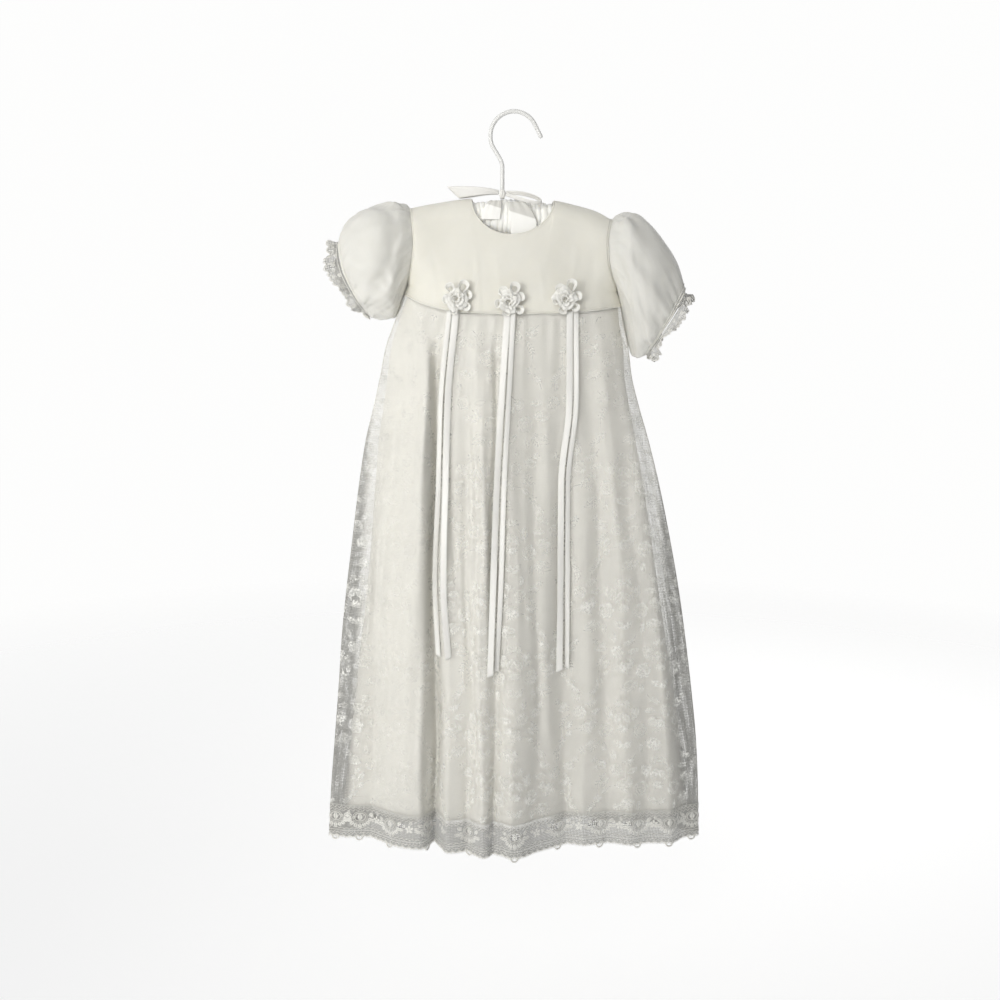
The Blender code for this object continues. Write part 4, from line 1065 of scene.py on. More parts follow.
YOKE_CREASES = (
    # half, x at neck or shoulder, x at seam, top z, bottom z, half width, height
    (-1, -36.0, -33.0, -118, -186, 2.6, 0.8), (-1, -18.0, -10.0, -122, -186, 3.2, 0.7),
    (-1, 22.0, 30.0, -130, -186, 3.0, 0.6), (-1, 62.0, 50.0, -110, -186, 3.4, 0.7),
    (-1, -80.0, -66.0, -120, -178, 4.0, -0.8), (-1, 78.0, 70.0, -120, -182, 4.0, -0.9),
    (-1, 4.0, 6.0, -150, -186, 2.6, 0.6), (-1, -56.0, -58.0, -140, -184, 2.6, 0.6),
    (1, -50.0, -44.0, -110, -186, 4.0, 0.9), (1, -28.0, -30.0, -130, -186, 3.0, -0.8),
    (1, 30.0, 26.0, -110, -186, 4.0, 0.9), (1, 56.0, 60.0, -120, -186, 3.4, -0.8),
)


def yoke_surface(half, x_top, q, lift=0.0, out=0.0):
    """Points of the yoke, q 0 at the neck or shoulder and 1 at the seam, with its gathers and creases."""
    u = x_top / YOKE_HALF
    z = lerp(neck_z(x_top, NECK_DROPS[half]), seam_z(u) + SEAM_GAP / 2 + 0.36, q)
    points = yoke(half, u, z, lift + out)
    x = points[..., 0]
    # Ripples, fading at the neck and seam, then creases, then small gathers along the seam
    wrinkle = 0.25 * ripple(x, z, 11 + half, 46.0, 90.0) * smoothstep(q / 0.3) * smoothstep((1 - q) / 0.1)
    for side, top_x, low_x, top, bottom, width, size in YOKE_CREASES:
        if side == half:
            line = lerp(top_x, low_x, np.clip((top - z) / (top - bottom), 0, 1))
            ends = smoothstep((top - z) / 25.0)
            wrinkle = wrinkle + 0.55 * size * ends * np.exp(-((x - line) / width) ** 2)
    near_seam = np.exp(-((1 - q) * 90.0 / 7.0))
    wrinkle = wrinkle + 0.35 * near_seam * np.cos(x / 1.9 + 0.8 * np.sin(x / 11.0))
    points[..., 1] += half * wrinkle * smoothstep((1 - np.abs(u)) / 0.1)
    return points


def build_yoke(half, name, solid, from_x, to_x, lapped=False):
    x_top = yoke_columns(from_x, to_x)
    q = np.insert(spaced((0, 0.14, 1), (24, 62)), 1, (0.002, 0.006))
    lift = lap_lift(x_top)[None, :] if lapped else 0.0
    points = yoke_surface(half, x_top[None, :], q[:, None], lift)
    if half > 0:
        points = points[:, ::-1]
    return add_grid(name, points, ORGANZA, wall=0.9, replaces=[solid], slot="organza")


def neck_line(half, from_x, to_x, out, lapped):
    """Points along the neck's edge, moved out."""
    turn = np.linspace(*(math.asin(x / NECK_HALF_WIDTH) for x in (from_x, to_x)), 150)
    x = NECK_HALF_WIDTH * np.sin(turn) * 0.9995
    lift = lap_lift(x) if lapped else 0.0
    return yoke_surface(half, x, 0 * x, lift, out)


def dashes(parts, line, length, gap, radius):
    """Running stitches along a line of points."""
    along = run_lengths(line)
    start = gap
    while start + length < along[-1]:
        places = start + length * np.linspace(0, 1, 3)
        path = np.stack([np.interp(places, along, line[:, k]) for k in range(3)], axis=-1)
        parts.tube(path, radius, 3)
        start += length + gap


def build_neck_trim():
    """The turned edges of the neck and armholes, and the stitches that hold the neck's."""
    edge, stitches = Parts(), Parts()
    near = NECK_HALF_WIDTH * 0.999
    for half, from_x, to_x, lapped in (
        (-1, -near, near, False), (1, -near, LAP, True), (1, -LAP, near, False),
    ):
        edge.tube(neck_line(half, from_x, to_x, -0.45, lapped), 0.75, 8)
        drop = neck_line(half, from_x * 0.98, to_x * 0.98, 0.0, lapped)
        drop[:, 2] -= 2.6
        below = np.clip(across(drop[:, 0], drop[:, 2]), -0.98, 0.98)
        lift = lap_lift(drop[:, 0]) if lapped else 0.0
        dashes(stitches, yoke(half, below, drop[:, 2], lift + 0.12), 1.7, 0.9, 0.15)
    for side in (0, 1):
        middle, tall = armhole_span(side)
        angles = np.linspace(0.02, 2 * math.pi - 0.02, 120)
        z = middle + tall * np.cos(angles)
        x = side_x(z, side) + (-0.6, 0.6)[side]
        ring = np.stack([x, -(ARMHOLE_HALF_DEPTH + 0.2) * np.sin(angles), z], axis=-1)
        edge.tube(ring, 0.75, 7, closed=True)
    trim = edge.build("bodice_edges", ORGANZA, slot="organza")
    seams = stitches.build("bodice_stitches", THREAD, slot="organza")
    return trim, seams


def build_seam_cord():
    """The empire seam: a narrow turned fold with stitches above it."""
    edge, stitches = Parts(), Parts()
    for half in (-1, 1):
        u = np.linspace(-0.985, 0.985, 240)
        line = yoke(half, u, seam_z(u) + 0.12, -0.9)
        edge.tube(line, 0.95, 8)
        upper = yoke(half, u * 0.99, seam_z(u) + 2.8, 0.15)
        dashes(stitches, upper, 1.8, 0.9, 0.15)
    cord = edge.build("empire_seam", ORGANZA, slot="organza")
    seams = stitches.build("empire_stitches", THREAD, slot="organza")
    return cord, seams


BUTTON_THICKNESS = 2.4
BUTTON_RINGS = (
    # radius, distance from the underside
    (0.0, 0.0), (3.6, 0.0), (4.3, 0.3), (4.5, 0.9), (4.5, 1.5), (4.2, 2.1), (3.7, BUTTON_THICKNESS),
    (3.2, 2.3), (2.9, 1.8), (1.5, 1.6), (0.0, 1.6),
)


def build_buttons():
    """Dished buttons with two holes, each sewn on with three turns of thread."""
    for n, z in enumerate(BUTTON_ZS, 1):
        back, front = (corner[1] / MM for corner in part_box(f"button_{n}"))
        grid = np.array([
            [
                (r * math.cos(a), back + d * (front - back) / BUTTON_THICKNESS, z + r * math.sin(a))
                for a in circle(40)
            ]
            for r, d in BUTTON_RINGS
        ])
        parts = Parts()
        parts.add_grid(grid, wraps=True)
        for x in (-0.95, 0.95):
            hole = [(x + 0.42 * math.cos(a), back + 1.75, z + 0.42 * math.sin(a)) for a in circle(12)]
            parts.tube(hole, 0.2, 5, closed=True)
        parts.build(f"pearl_button_{n}", PEARL, replaces=[f"button_{n}"], slot="button_pearl")
        thread = Parts()
        for dz in (-0.22, 0.0, 0.22):
            bridge = ((-1.1, 1.3), (-0.5, 2.0), (0.5, 2.0), (1.1, 1.3))  # x, distance from the underside
            thread.tube([(x, back + y, z + dz) for x, y in bridge], 0.13, 4)
        thread.build(f"button_thread_{n}", THREAD, slot="button_pearl")


# ---------------------------------------------------------------- sleeves

def ring_point(ring, angle):
    """Points of an oval ring round the arm, angle 0 at its top and 90 degrees at its front."""
    top_x, top_z, bottom_x, bottom_z, half_depth = ring
    middle = np.array(((top_x + bottom_x) / 2, 0.0, (top_z + bottom_z) / 2))
    up = np.array(((top_x - bottom_x) / 2, 0.0, (top_z - bottom_z) / 2))
    front = np.array((0.0, -half_depth, 0.0))
    return middle + up * np.cos(angle)[..., None] + front * np.sin(angle)[..., None]


def along_sleeve(side, angle, t):
    """Points from the armhole, t 0, to the cuff, t 1, for arrays of angles and t."""
    middle, tall = armhole_span(side)
    z = middle + tall * np.cos(angle)
    x = side_x(z, side) + (-1.0, 1.0)[side] * ARMHOLE_GAP
    head = np.stack([x, -ARMHOLE_HALF_DEPTH * np.sin(angle), z], -1)
    knots = np.stack([head] + [ring_point(ring, angle) for ring in SLEEVES[side]], axis=-1)
    return np.stack([smooth_line(RING_PLACES, knots[..., k, :], t) for k in range(3)], axis=-1)


def cuff_axis(side):
    """Middle of the lace's edge, and the direction in which the arm leaves the cuff."""
    ends = np.array([0.0, math.pi])
    cuff, edge = (ring_point(ring, ends).mean(0) for ring in (SLEEVES[side][-1], LACE_RINGS[side]))
    return edge, unit(edge - cuff)


def sleeve(side, angle, t, off=0.0):
    """Points of a puffed sleeve: smoothed rings with gathers, a puff at the cuff, creases and ripples."""
    angle, t = np.broadcast_arrays(np.asarray(angle, float), np.asarray(t, float))
    # The mean of seven places along the arm rounds the rings' corners
    reach = np.minimum(t, 1 - t)
    shifts = [np.minimum(abs(k) * 0.055, reach) * np.sign(k) for k in (-3, -2, -1, 0, 1, 2, 3)]
    place = sum(along_sleeve(side, angle, t + shift) for shift in shifts) / 7
    outward = unit(place - along_sleeve(side, angle + math.pi, t))
    # Gathers near the armhole and the cuff, and a row of small puffs above the cuff
    near = np.exp(-((t / 0.22) ** 2)) * (0.4 + 6.0 * t) + np.exp(-(((1 - t) / 0.2) ** 2))
    near = np.minimum(near, 1.0)
    gathers = np.cos(SLEEVE_GATHERS * angle + 0.5 * np.sin(2 * angle))
    fine = np.cos(17 * angle + 1.0 + 1.2 * np.sin(2 * angle))
    wave = near * (0.9 * gathers + 0.45 * fine + 0.3 * np.cos(31 * angle + 2.0 * np.sin(3 * angle)))
    puffed = np.exp(-(((t - 0.86) / 0.1) ** 2)) * (1.2 + 0.8 * np.sin(3 * angle + side))
    wave = wave + puffed * (np.abs(np.cos(4.5 * angle + 0.6 * np.sin(3 * angle))) - 0.35)
    degrees = np.degrees(angle) % 360
    for which, at_head, at_cuff, start, end, width, size in SLEEVE_CREASES:
        if which == side:
            line = lerp(at_head, at_cuff, t) + 3.0 * np.sin(5 * t + at_head)
            gap = (degrees - line + 180) % 360 - 180
            ends = smoothstep((t - start + 0.05) / 0.25) * smoothstep((end + 0.05 - t) / 0.25)
            wave = wave + 0.6 * size * ends * np.exp(-((gap / (1.3 * width)) ** 2))
    # Large and small ripples between the ends
    around, length = np.sin(angle) * 40.0 + 20 * np.cos(angle), t * 70.0
    body = smoothstep(t / 0.2) * smoothstep((1 - t) / 0.15)
    wave = wave + 1.1 * body * ripple(around, length, 21 + side, 30.0, 34.0)
    wave = wave + 0.4 * body * ripple(around, length, 31 + side, 12.0, 15.0)
    edge = smoothstep(t / 0.03) * smoothstep((1 - t) / 0.02)
    bulge = CUFF_BULGE[side] * np.sin(angle) ** 2 * smoothstep((t - 0.5) / 0.5)
    return place + outward * (wave * edge + off)[..., None] + cuff_axis(side)[1] * bulge[..., None]


def build_sleeve(side, name, solid):
    angles = circle(240)
    t = spaced((0, 0.1, 0.9, 1), (12, 60, 14))
    points = sleeve(side, angles[None, :], t[:, None])
    if side == 1:
        points = points[:, ::-1]
    made = add_grid(
        name, points, SHEER, wraps=True, uv=closed_uv(points), wall=0.45, replaces=[solid], slot="organza",
    )
    trim = Parts()
    for place, radius in ((0.985, 0.9), (0.962, 0.5)):
        line = sleeve(side, angles[::2], np.full(120, place), 0.25)
        trim.tube(line, radius, 6, closed=True)
    cuff = trim.build(f"{name}_cuff_band", SHEER, slot="organza")
    return made, cuff


def cuff_lace(side, angle, t, lift=0.0):
    """Points of a cuff's gathered lace, t 0 at the cuff and 1 at its edge."""
    angle, t = np.broadcast_arrays(np.asarray(angle, float), np.asarray(t, float))
    cuff, edge = SLEEVES[side][-1], LACE_RINGS[side]
    edge_centre, axis = cuff_axis(side)
    start = ring_point(cuff, angle) + axis * (CUFF_GAP + CUFF_BULGE[side] * np.sin(angle) ** 2)[..., None]
    end = ring_point(edge, angle)
    outward = unit(end - edge_centre)
    ruffle = (2.4, 3.4)[side] * np.cos((5, 4)[side] * angle + (0.4, 1.3)[side] + 0.6 * np.sin(3 * angle))
    end = end + axis * (LACE_BULGE[side] * np.sin(angle) ** 2 + ruffle)[..., None]
    uneven = np.cos(CUFF_WAVES * angle + 0.7 * np.sin(2 * angle)) + 0.4 * np.cos(2.0 * CUFF_WAVES * angle)
    wave = CUFF_WAVE_SIZE * smoothstep(t * 1.2) * uneven
    place = lerp(start, end, t[..., None]) + outward * (wave + lift)[..., None]
    return place - axis * (np.abs(wave) * 0.5 * t)[..., None]


def build_cuff_lace(side, name, solid):
    angles = circle(440)
    chain = 44  # scallops round the edge
    scallop = 1.0 - 0.09 * np.abs(np.cos(angles * chain / 2))
    t = np.linspace(0, 1, 22)
    points = cuff_lace(side, angles[None, :], t[:, None] * scallop[None, :])
    if side == 1:
        points = points[:, ::-1]
    round_length = np.linalg.norm(np.diff(points[-1], axis=0), axis=1).sum()
    depth = 15.0
    s = angles / (2 * math.pi) * round_length
    uv = np.stack(np.broadcast_arrays(s[None, :], -t[:, None] * depth), axis=-1)
    net = add_grid(name, points, NET, wraps=True, uv=uv, replaces=[solid], slot="lace")
    cords, fills = Parts(), Parts()
    cords.tube(cuff_lace(side, angles, scallop, 0.1), 0.5, 5, closed=True)
    for place, radius in ((0.12, 0.4), (0.72, 0.35)):
        cords.tube(cuff_lace(side, angles[::2], np.full(220, place), 0.25), radius, 4, closed=True)
    step = 2 * math.pi / chain
    for k in range(chain):
        middle = (k + 0.5) * step
        arc = np.linspace(0, math.pi, 8)
        loop = cuff_lace(side, middle + 0.3 * step * np.cos(arc), 0.95 + 0.13 * np.sin(arc), 0.1)
        cords.tube(loop, 0.36, 4)
        arc = np.linspace(0, math.pi, 9)
        arch = cuff_lace(side, middle + 0.42 * step * np.cos(arc), 0.74 + 0.16 * np.sin(arc), 0.25)
        cords.tube(arch, 0.28, 3)
    for k in range(CUFF_WAVES * 2):
        middle = k * math.pi / CUFF_WAVES
        flower = Parts()
        if k % 2 == 0:
            blossom(flower, (0.0, 6.2), 3.3, 0.3)
        for direction in (0.2, 2.9) if k % 2 == 0 else (1.1, 2.0, -1.2, -1.9):
            start = (3.6 * math.cos(direction) * (k % 2 == 0), 6.2 + 1.2 * math.sin(direction))
            leaf(flower, start, direction, 4.6, 2.6, 0.25)
        flat = np.concatenate(flower.points)
        angle = middle + flat[:, 0] / round_length * 2 * math.pi
        place = cuff_lace(side, angle, flat[:, 1] / depth + 0.06, flat[:, 2])
        fills.add(place, flower.faces, flat[:, :2])
    edging = cords.build(f"{name}_cords", CORD, slot="lace")
    flowers = fills.build(f"{name}_flowers", LACE, slot="lace")
    return net, edging, flowers


# ---------------------------------------------------------------- ribbons

def ribbon_grid(path, sides, cup, columns=9, gathers=None):
    """A ribbon's surface: path in its middle, sides half its width, cup its bow across."""
    path, sides = np.asarray(path, float), np.asarray(sides, float)
    v = np.linspace(-1, 1, columns)[None, :, None]
    normal = unit(np.cross(np.gradient(path, axis=0), sides))[:, None]
    points = path[:, None] + sides[:, None] * v + normal * (cup * (1 - v ** 2))
    if gathers is not None:
        points = points + normal * gathers[:, None, None] * np.cos(2.5 * math.pi * v)
    return points


def resample(points, count):
    """Smooth path through rows of numbers, by the length of the line between their places."""
    points = np.asarray(points, float)
    along = run_lengths(points[:, :3])
    even = np.linspace(0, along[-1], count)
    return np.stack([smooth_line(along, points[:, k], even) for k in range(points.shape[1])], axis=-1)


def rounded_path(points, count):
    """Like resample, with its corners cut three times to soft curves."""
    points = np.asarray(points, float)
    for _ in range(3):
        a, b = points[:-1], points[1:]
        cut = np.stack([lerp(a, b, 0.25), lerp(a, b, 0.75)], axis=1).reshape(-1, points.shape[1])
        points = np.concatenate([points[:1], cut[1:-1], points[-1:]])
    return resample(points, count)


ROSETTE_LOOPS = (
    # x and z of its foot, direction in degrees, length, breadth, depth of its foot, half width of the
    # ribbon, lean
    (2.6, 2.6, 74, 11.4, 9.6, 3.8, 2.7, 0.8), (-3.4, 2.0, 118, 9.0, 8.4, 3.0, 2.3, 1.0),
    (5.0, -0.5, 18, 8.0, 8.2, 3.0, 2.2, 1.0), (4.4, -6.6, -40, 7.6, 7.8, 2.8, 2.2, 1.0),
    (-6.0, -3.5, 186, 6.6, 7.6, 2.8, 2.1, 1.0), (-2.6, -8.6, 250, 6.6, 7.4, 2.8, 2.1, 1.0),
)


def ruffle(x, z, back, turn, random):
    """Ribbon gathered along one edge and wound into a rose, from its middle outward."""
    count, ring = 300, []
    tau = np.linspace(0, 1, count)
    angle = turn + 2.9 * 2 * math.pi * tau
    uneven = sum(
        random.uniform(0.5, 1.0) * np.sin(k * angle * 0.97 + random.uniform(0, 2 * math.pi))
        for k in (2, 5, 8, 11)
    )
    lean = np.radians(lerp(78.0, 24.0, tau ** 0.8) + 7.0 * np.sin(3 * angle + turn))
    wide = lerp(4.0, 6.8, tau) * (1 + 0.14 * np.sin(4 * angle + 2 * turn))
    start = 0.5 + 5.6 * tau
    deep = lerp(4.6, 2.6, tau ** 1.2)
    for v in np.linspace(0, 1, 7):
        lift = wide * (v * np.sin(lean) - 0.4 * v ** 2.2) + 0.6 * uneven * v ** 1.5
        reach = start + wide * v * np.cos(lean) + 0.35 * uneven * v ** 2
        depth = np.clip(deep + lift, 0.3, 8.4)
        ring.append(np.stack([x + reach * np.cos(angle), back - depth, z + reach * np.sin(angle) * 1.05], -1))
    return np.array(ring)


def hoop(foot, degrees, length, breadth, depth, half, lean, back):
    """An open loop of ribbon that stands up from a rose, its outer edge leaning toward the viewer."""
    tau = np.linspace(0, 2 * math.pi, 34)
    rise = 0.5 - 0.5 * np.cos(tau)
    along = length * rise ** 0.85
    aside = breadth / 2 * np.sin(tau) * (0.45 + 0.55 * rise)
    angle = math.radians(degrees)
    forward = np.array((math.cos(angle), math.sin(angle)))
    right = np.array((forward[1], -forward[0]))
    flat = np.array(foot) + along[:, None] * forward + aside[:, None] * right
    path = np.stack([flat[:, 0], back - depth + 0.5 * np.sin(2 * tau), flat[:, 1]], -1)
    out = unit(flat - np.array(foot) - 0.45 * length * forward) * (lean * rise)[:, None]
    sides = unit(np.stack([out[:, 0], np.full(34, -0.75), out[:, 1]], -1)) * half
    return ribbon_grid(path, sides, 0.25, 6)


def build_rosette(name, x, z):
    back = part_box(f"rosette_{name}")[1][1] / MM - 0.4
    random = np.random.default_rng(int(abs(x) * 10))
    parts = Parts()
    turn = random.uniform(0, 2 * math.pi)
    parts.add_grid(ruffle(x - 1.2, z - 3.6, back, turn, random))
    for foot_x, foot_z, degrees, *sizes in ROSETTE_LOOPS:
        foot = (x + foot_x + random.uniform(-0.6, 0.6), z + foot_z - 1.0 + random.uniform(-0.6, 0.6))
        parts.add_grid(hoop(foot, degrees + random.uniform(-10, 10), *sizes, back))
    parts.build(f"ribbon_rose_{name}", RIBBON, wall=0.2, replaces=[f"rosette_{name}"], slot="ribbon_satin")


def tail_path(width, places):
    """Middle of a ribbon that lies just off the ridges of the cloth behind it."""
    top_x, x_270, x_350, x_450, end_x, end_z = places
    z = np.linspace(TAIL_TOP_Z + 4.0, end_z, 110)
    x = smooth_line((-TAIL_TOP_Z, 270.0, 350.0, 450.0, -end_z), (top_x, x_270, x_350, x_450, end_x), -z)
    near = np.stack([
        front_y(x + share * width, z + dz) for share in (-0.8, -0.4, 0.0, 0.4, 0.8) for dz in (-6, 0, 6)
    ]).min(axis=0)
    kernel = np.exp(-np.linspace(-1.6, 1.6, 15) ** 2)
    y = np.convolve(np.pad(near, 7, mode="edge"), kernel / kernel.sum(), mode="valid")
    return np.stack([x, np.minimum(y, near) - 0.9, z], axis=-1)


def build_tail(name, width, places, seed):
    path = tail_path(width, places)
    along = np.linspace(0, 1, len(path))
    twist = 0.3 * np.sin(2 * math.pi * (1.3 * along + 0.31 * seed)) * smoothstep(along / 0.2)
    sides = np.stack([np.cos(twist), np.sin(twist), 0 * twist], -1) * width / 2
    path[:, 1] -= np.abs(np.sin(twist)) * width / 2
    points = ribbon_grid(path, sides, 0.25, 9)
    cut = np.linspace(-1, 1, 9) * width * 0.22 * (-1) ** seed
    points[-1, :, 2] += cut
    points[-2, :, 2] += cut * 0.6
    made = add_grid(
        f"ribbon_{name}", points, RIBBON, wall=0.3, replaces=[f"tail_{name}"], slot="ribbon_satin",
    )
    edges = Parts()
    for column in (0, -1):
        edges.tube(points[:, column] + (0, -0.02, 0), 0.2, 4)
    edge = edges.build(f"ribbon_{name}_edges", RIBBON, slot="ribbon_satin")
    return made, edge


def build_bow():
    """Two loops and two ends of ribbon, gathered into a knot at the foot of the hook."""
    made = []
    count = 90
    for name, rows in BOW_LOOPS.items():
        path = rounded_path(rows, count)
        ends = np.minimum(np.arange(count), np.arange(count)[::-1]) / count
        gathers = 0.5 * np.exp(-ends / 0.09)
        bend = np.sin(np.linspace(0, math.pi, count))
        slant, lean = (1.1, 0.25) if name == "left" else (0.1, 0.9)
        upright = 1.0 - 0.5 * (lean - 0.25) * bend
        sides = np.stack([slant * bend ** 2, lean * bend, -upright], -1) * path[:, 3:]
        points = ribbon_grid(path[:, :3] + KNOT, sides, 0.3, 13, gathers)
        made.append(add_grid(
            f"bow_ribbon_{name}", points, BOW, wall=0.35, replaces=[f"bow_loop_{name}"], slot="ribbon_satin"
        ))
    for name, rows in BOW_TAILS.items():
        path = resample([(x, BOW_TAIL_Y, z, half) for x, z, half in rows], 40)
        gathers = 0.5 * np.exp(-np.linspace(0, 5, 40)) + 0.04
        sides = np.stack([path[:, 3], 0 * path[:, 3], 0 * path[:, 3]], -1)
        points = ribbon_grid(path[:, :3], sides, 0.35, 25, gathers)
        made.append(add_grid(
            f"bow_end_{name}", points, BOW_END, wall=0.35, replaces=[f"bow_tail_{name}"], slot="ribbon_satin"
        ))
    polar = np.linspace(0, math.pi, 26)[:, None]
    turn = circle(48)[None, :]
    pleat = 1 + 0.07 * np.cos(7 * turn) * np.sin(polar)
    x = np.sin(polar) * np.cos(turn) * pleat
    y = np.sin(polar) * np.sin(turn) * pleat
    ball = np.stack([x, y, np.cos(polar) + 0 * turn], -1) * KNOT_SIZE / 2 + KNOT
    add_grid("bow_tie", ball, BOW, wraps=True, replaces=["bow_knot"], slot="ribbon_satin")
    return made


# ---------------------------------------------------------------- hanger

def build_hook():
    """A bent wire: rounded tip, hook, bend and shank, down to the padding."""
    tip, end = (math.radians(a) for a in HOOK_ANGLES)
    centre = np.array((0.0, 0.0, WIRE_RADIUS - HOOK_RADIUS))
    turns = np.linspace(tip, end, 60)
    arc = centre + HOOK_RADIUS * np.stack([np.cos(turns), 0 * turns, np.sin(turns)], -1)
    along_tip = np.array((math.sin(tip), 0.0, -math.cos(tip)))
    start = arc[0] + along_tip * np.linspace(HOOK_TIP_LENGTH, 0.5, 12)[:, None]
    t = np.linspace(0, 1, 30)[1:]
    aside, down = lerp(arc[-1, 0], SHANK_X, smoothstep(t)), lerp(arc[-1, 2], SHANK_BEND_Z, t)
    bend = np.column_stack([aside, 0 * t, down])
    foot = float(pad_top(SHANK_X)) + 0.5
    z = np.linspace(SHANK_BEND_Z - 1, foot, 14)
    shank = np.column_stack([np.full(14, SHANK_X), 0 * z, z])
    path = np.concatenate([start, arc, bend, shank])
    for _ in range(3):
        path[1:-1] = (path[:-2] + 2 * path[1:-1] + path[2:]) / 4
    cap = along_tip * np.array([WIRE_RADIUS, 1.7, 1.2, 0.6])[:, None] + path[0]
    radius = np.concatenate([[0.05, 1.05, 1.6, 1.9], np.full(len(path), WIRE_RADIUS)])
    parts = Parts()
    parts.tube(np.concatenate([cap, path]), radius, 24)
    parts.build("wire_hook", COATING, replaces=["hanger_hook"], slot="coated_wire")


def pad_top(x):
    return shoulder_z(x) - PAD_DROP + PAD_RISE[0] * np.exp(-((x / PAD_RISE[1]) ** 2))


def pad_radius(x):
    end = np.where(x < 0, *PAD_ENDS)
    part = np.abs(x / end)
    return PAD_RADIUS * np.sqrt(np.clip(1.0 - part ** 4.5, 0.0, None)) * lerp(1.0, 0.72, part)


def build_pad():
    """Shirred satin over soft filling: uneven pleats drawn up on the middle wire."""
    x = lerp(*PAD_ENDS, 0.5 - 0.5 * np.cos(math.pi * np.linspace(0.003, 0.997, 421)))
    x, angle = x[:, None], circle(72)[None, :]
    place = (x - PAD_ENDS[0]) / (PAD_ENDS[1] - PAD_ENDS[0])
    waver = 0.1 * np.sin(3 * angle) + 0.05 * np.sin(6 * angle + 9 * place) + 0.2 * np.sin(40 * place)
    phase = PAD_PLEATS * place + waver
    pleat = np.abs(np.sin(math.pi * phase)) ** 0.6
    slack = 0.35 + 0.25 * np.sin(2 * angle + 11 * place)
    belly = 1.0 + 0.9 * np.exp(-((x / 44.0) ** 2)) * np.clip(-np.cos(angle), 0.0, 1.0) ** 1.5
    fine = 0.25 * slack * np.sin(4 * math.pi * phase + angle)
    radius = np.maximum(pad_radius(x) * belly - 1.4 * (1 - pleat) - fine, 0.05)
    centre = pad_top(x) - pad_radius(x)
    points = np.stack([x + 0 * angle, -radius * np.sin(angle), centre + radius * np.cos(angle)], -1)
    pad = add_grid(
        "padded_hanger", points[:, ::-1], BRIGHTENED_PAD_SATIN, wraps=True, uv=closed_uv(points)[:, ::-1],
        replaces=["hanger_pad"], slot="pad_satin",
    )


# ---------------------------------------------------------------- stage

LIGHTS = (
    # name, place, the point it shines at, width and height, spread in degrees, watts, colour
    ("key", (-0.8, -1.25, -0.25), (-0.15, 0.0, -0.36), (0.3, 1.3), 50, 1.35, (1.0, 0.985, 0.95)),
    ("front", (-0.35, -1.5, 0.45), (-0.06, 0.0, -0.14), (0.6, 0.6), 45, 0.6, (1.0, 0.99, 0.97)),
    ("back", (0.9, 1.6, 0.3), (0.0, 0.0, -0.38), (1.0, 1.0), 180, 7.0, (1.0, 0.99, 0.97)),
)
FLOOR_Z, SURROUND_RADIUS = -1.02, 9.0
CAMERA_PLACE, CAMERA_TILT, LENS = (-0.0133, -1.0584, -0.2127), 81.5, 38.52


def add_stage(name, grid, material):
    """Floor or surround: a grid in metres whose rows close on themselves."""
    mesh = bpy.data.meshes.new(name)
    mesh.from_pydata(grid.reshape(-1, 3).tolist(), [], grid_faces(*grid.shape[:2], True))
    mesh.materials.append(material)
    made = add_to_scene(name, mesh)
    return made


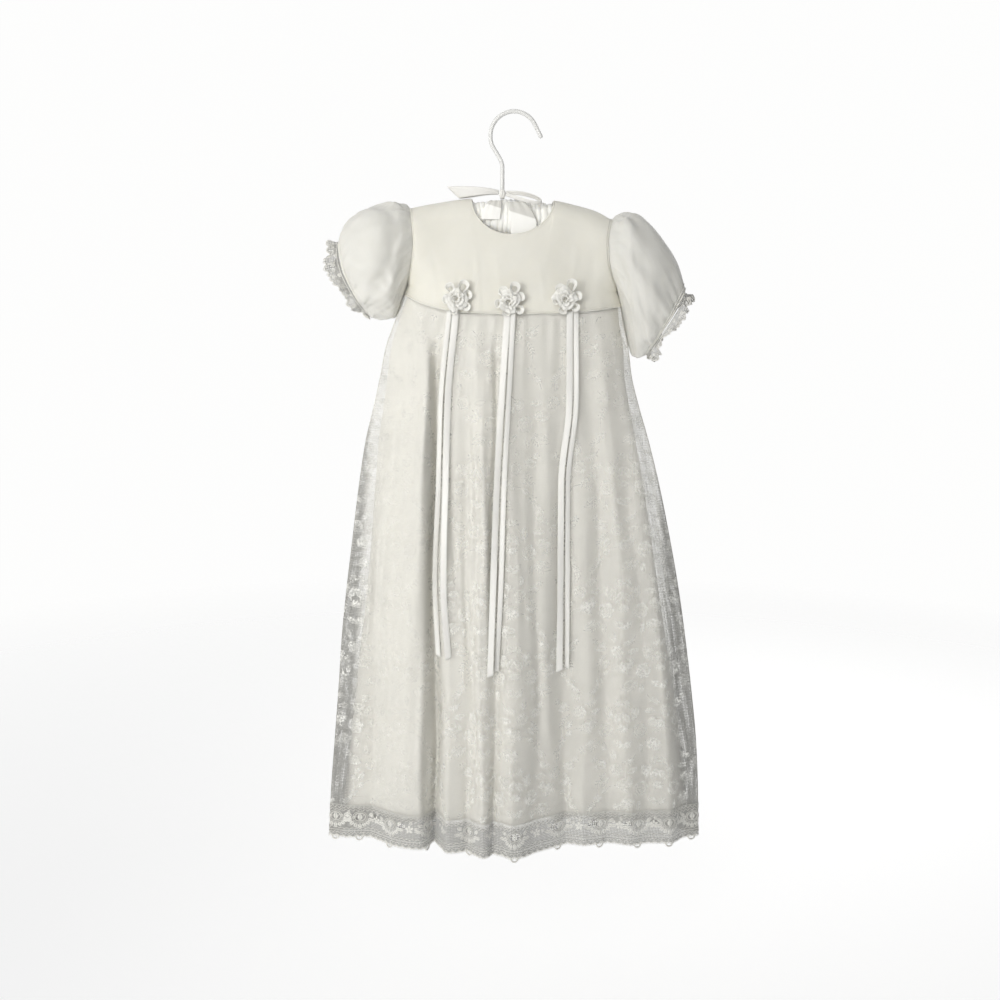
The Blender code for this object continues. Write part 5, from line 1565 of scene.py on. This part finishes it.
def build_stage():
    """Pale floor that fades out, pale surround that only the camera sees, sky, lights and camera."""
    colour = (0.9, 0.9, 0.895)
    floor, tree, shader = new_material("pale_floor", colour, 0.7)
    mottle(tree, shader, colour, 0.985, 3.0)
    place = node(tree, "ShaderNodeNewGeometry").outputs["Position"]
    level = node(tree, "ShaderNodeVectorMath", {0: place, 1: (1.0, 1.0, 0.0)}, operation="MULTIPLY")
    away = node(tree, "ShaderNodeVectorMath", {0: level.outputs[0]}, operation="LENGTH").outputs["Value"]
    tree.links.new(ranged(tree, away, 0.8, 2.6, 1.0, 0.0), shader.inputs["Alpha"])
    shader.inputs["Emission Color"].default_value = (1.0, 1.0, 1.0, 1.0)
    shader.inputs["Emission Strength"].default_value = 0.42
    radii = (0.001, 0.8, 1.7, 2.6)
    rings = [[(r * math.cos(a), r * math.sin(a), FLOOR_Z) for a in circle(96)] for r in radii]
    add_stage("floor", np.array(rings), floor)

    surround, _, shader = new_material("pale_surround", (0.0, 0.0, 0.0), 1.0)
    shader.inputs["Emission Color"].default_value = (1.0, 1.0, 0.995, 1.0)
    shader.inputs["Emission Strength"].default_value = 0.98
    polar = np.linspace(0.02, math.pi - 0.02, 25)[:, None]
    turn = circle(64)[None, :]
    across_ball, along_ball = np.sin(polar) * np.cos(turn), np.sin(polar) * np.sin(turn)
    ball = np.stack([across_ball, along_ball, np.cos(polar) + 0 * turn], -1)
    dome = add_stage("surround", ball * SURROUND_RADIUS, surround)
    dome.visible_diffuse = dome.visible_glossy = dome.visible_shadow = False
    dome.visible_transmission = False

    world = bpy.data.worlds.new("studio")
    bpy.context.scene.world = world
    world.use_nodes = True
    sky, shade = world.node_tree, world.node_tree.nodes["Background"]
    shade.inputs[0].default_value = (0.985, 0.99, 1.0, 1.0)
    direction = node(sky, "ShaderNodeTexCoord").outputs["Generated"]
    sideways = node(sky, "ShaderNodeSeparateXYZ", {0: direction}).outputs[0]
    sky.links.new(ranged(sky, sideways, -0.9, 0.9, 0.70, 0.24), shade.inputs[1])
    for name, place, aim, size, spread_angle, power, colour in LIGHTS:
        light = bpy.data.lights.new(name, "AREA")
        light.shape, light.spread = "RECTANGLE", math.radians(spread_angle)
        light.energy, (light.size, light.size_y), light.color = power, size, colour
        lamp = add_to_scene(name, light)
        lamp.location = place
        direction = np.array(aim) - np.array(place)
        lamp.rotation_euler = (
            math.acos(-direction[2] / np.linalg.norm(direction)), 0.0,
            math.atan2(direction[1], direction[0]) - math.pi / 2,
        )
    camera = add_to_scene("camera", bpy.data.cameras.new("camera"))
    camera.data.lens, camera.data.sensor_width = LENS, 36.0
    camera.location = CAMERA_PLACE
    camera.rotation_euler = (math.radians(CAMERA_TILT), 0.0, 0.0)
    bpy.context.scene.camera = camera
    bpy.context.scene.view_settings.view_transform = "Standard"


def main():
    side_seams = build_side_seams()
    for half, where in ((-1, "front"), (1, "back")):
        net, eyes = build_net(half, f"lace_net_{where}", f"skirt_lace_{where}")
        roses = build_roses(half, f"lace_roses_{where}")
        border = build_border(half, f"lace_border_{where}")
        side_seams = []
        cloth, stitches = build_lining(half, f"satin_skirt_{where}", f"skirt_lining_{where}")
    front = build_yoke(-1, "yoke_front", "bodice_front", -YOKE_HALF, YOKE_HALF)
    left = build_yoke(1, "yoke_back_left", "bodice_back_left", -YOKE_HALF, LAP, True)
    right = build_yoke(1, "yoke_back_right", "bodice_back_right", -LAP, YOKE_HALF)
    trim, seams = build_neck_trim()
    cord, line = build_seam_cord()
    build_buttons()
    for side, where in ((0, "left"), (1, "right")):
        cloth, band = build_sleeve(side, f"puff_{where}", f"sleeve_{where}")
        net, edging, flowers = build_cuff_lace(side, f"cuff_net_{where}", f"cuff_lace_{where}")
    for name, x, z in ROSETTES:
        build_rosette(name, x, z)
    for seed, (name, width, *places) in enumerate(TAILS):
        cloth, edge = build_tail(name, width, places, seed)
    for cloth in build_bow():
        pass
    build_hook()
    build_pad()
    build_stage()


main()
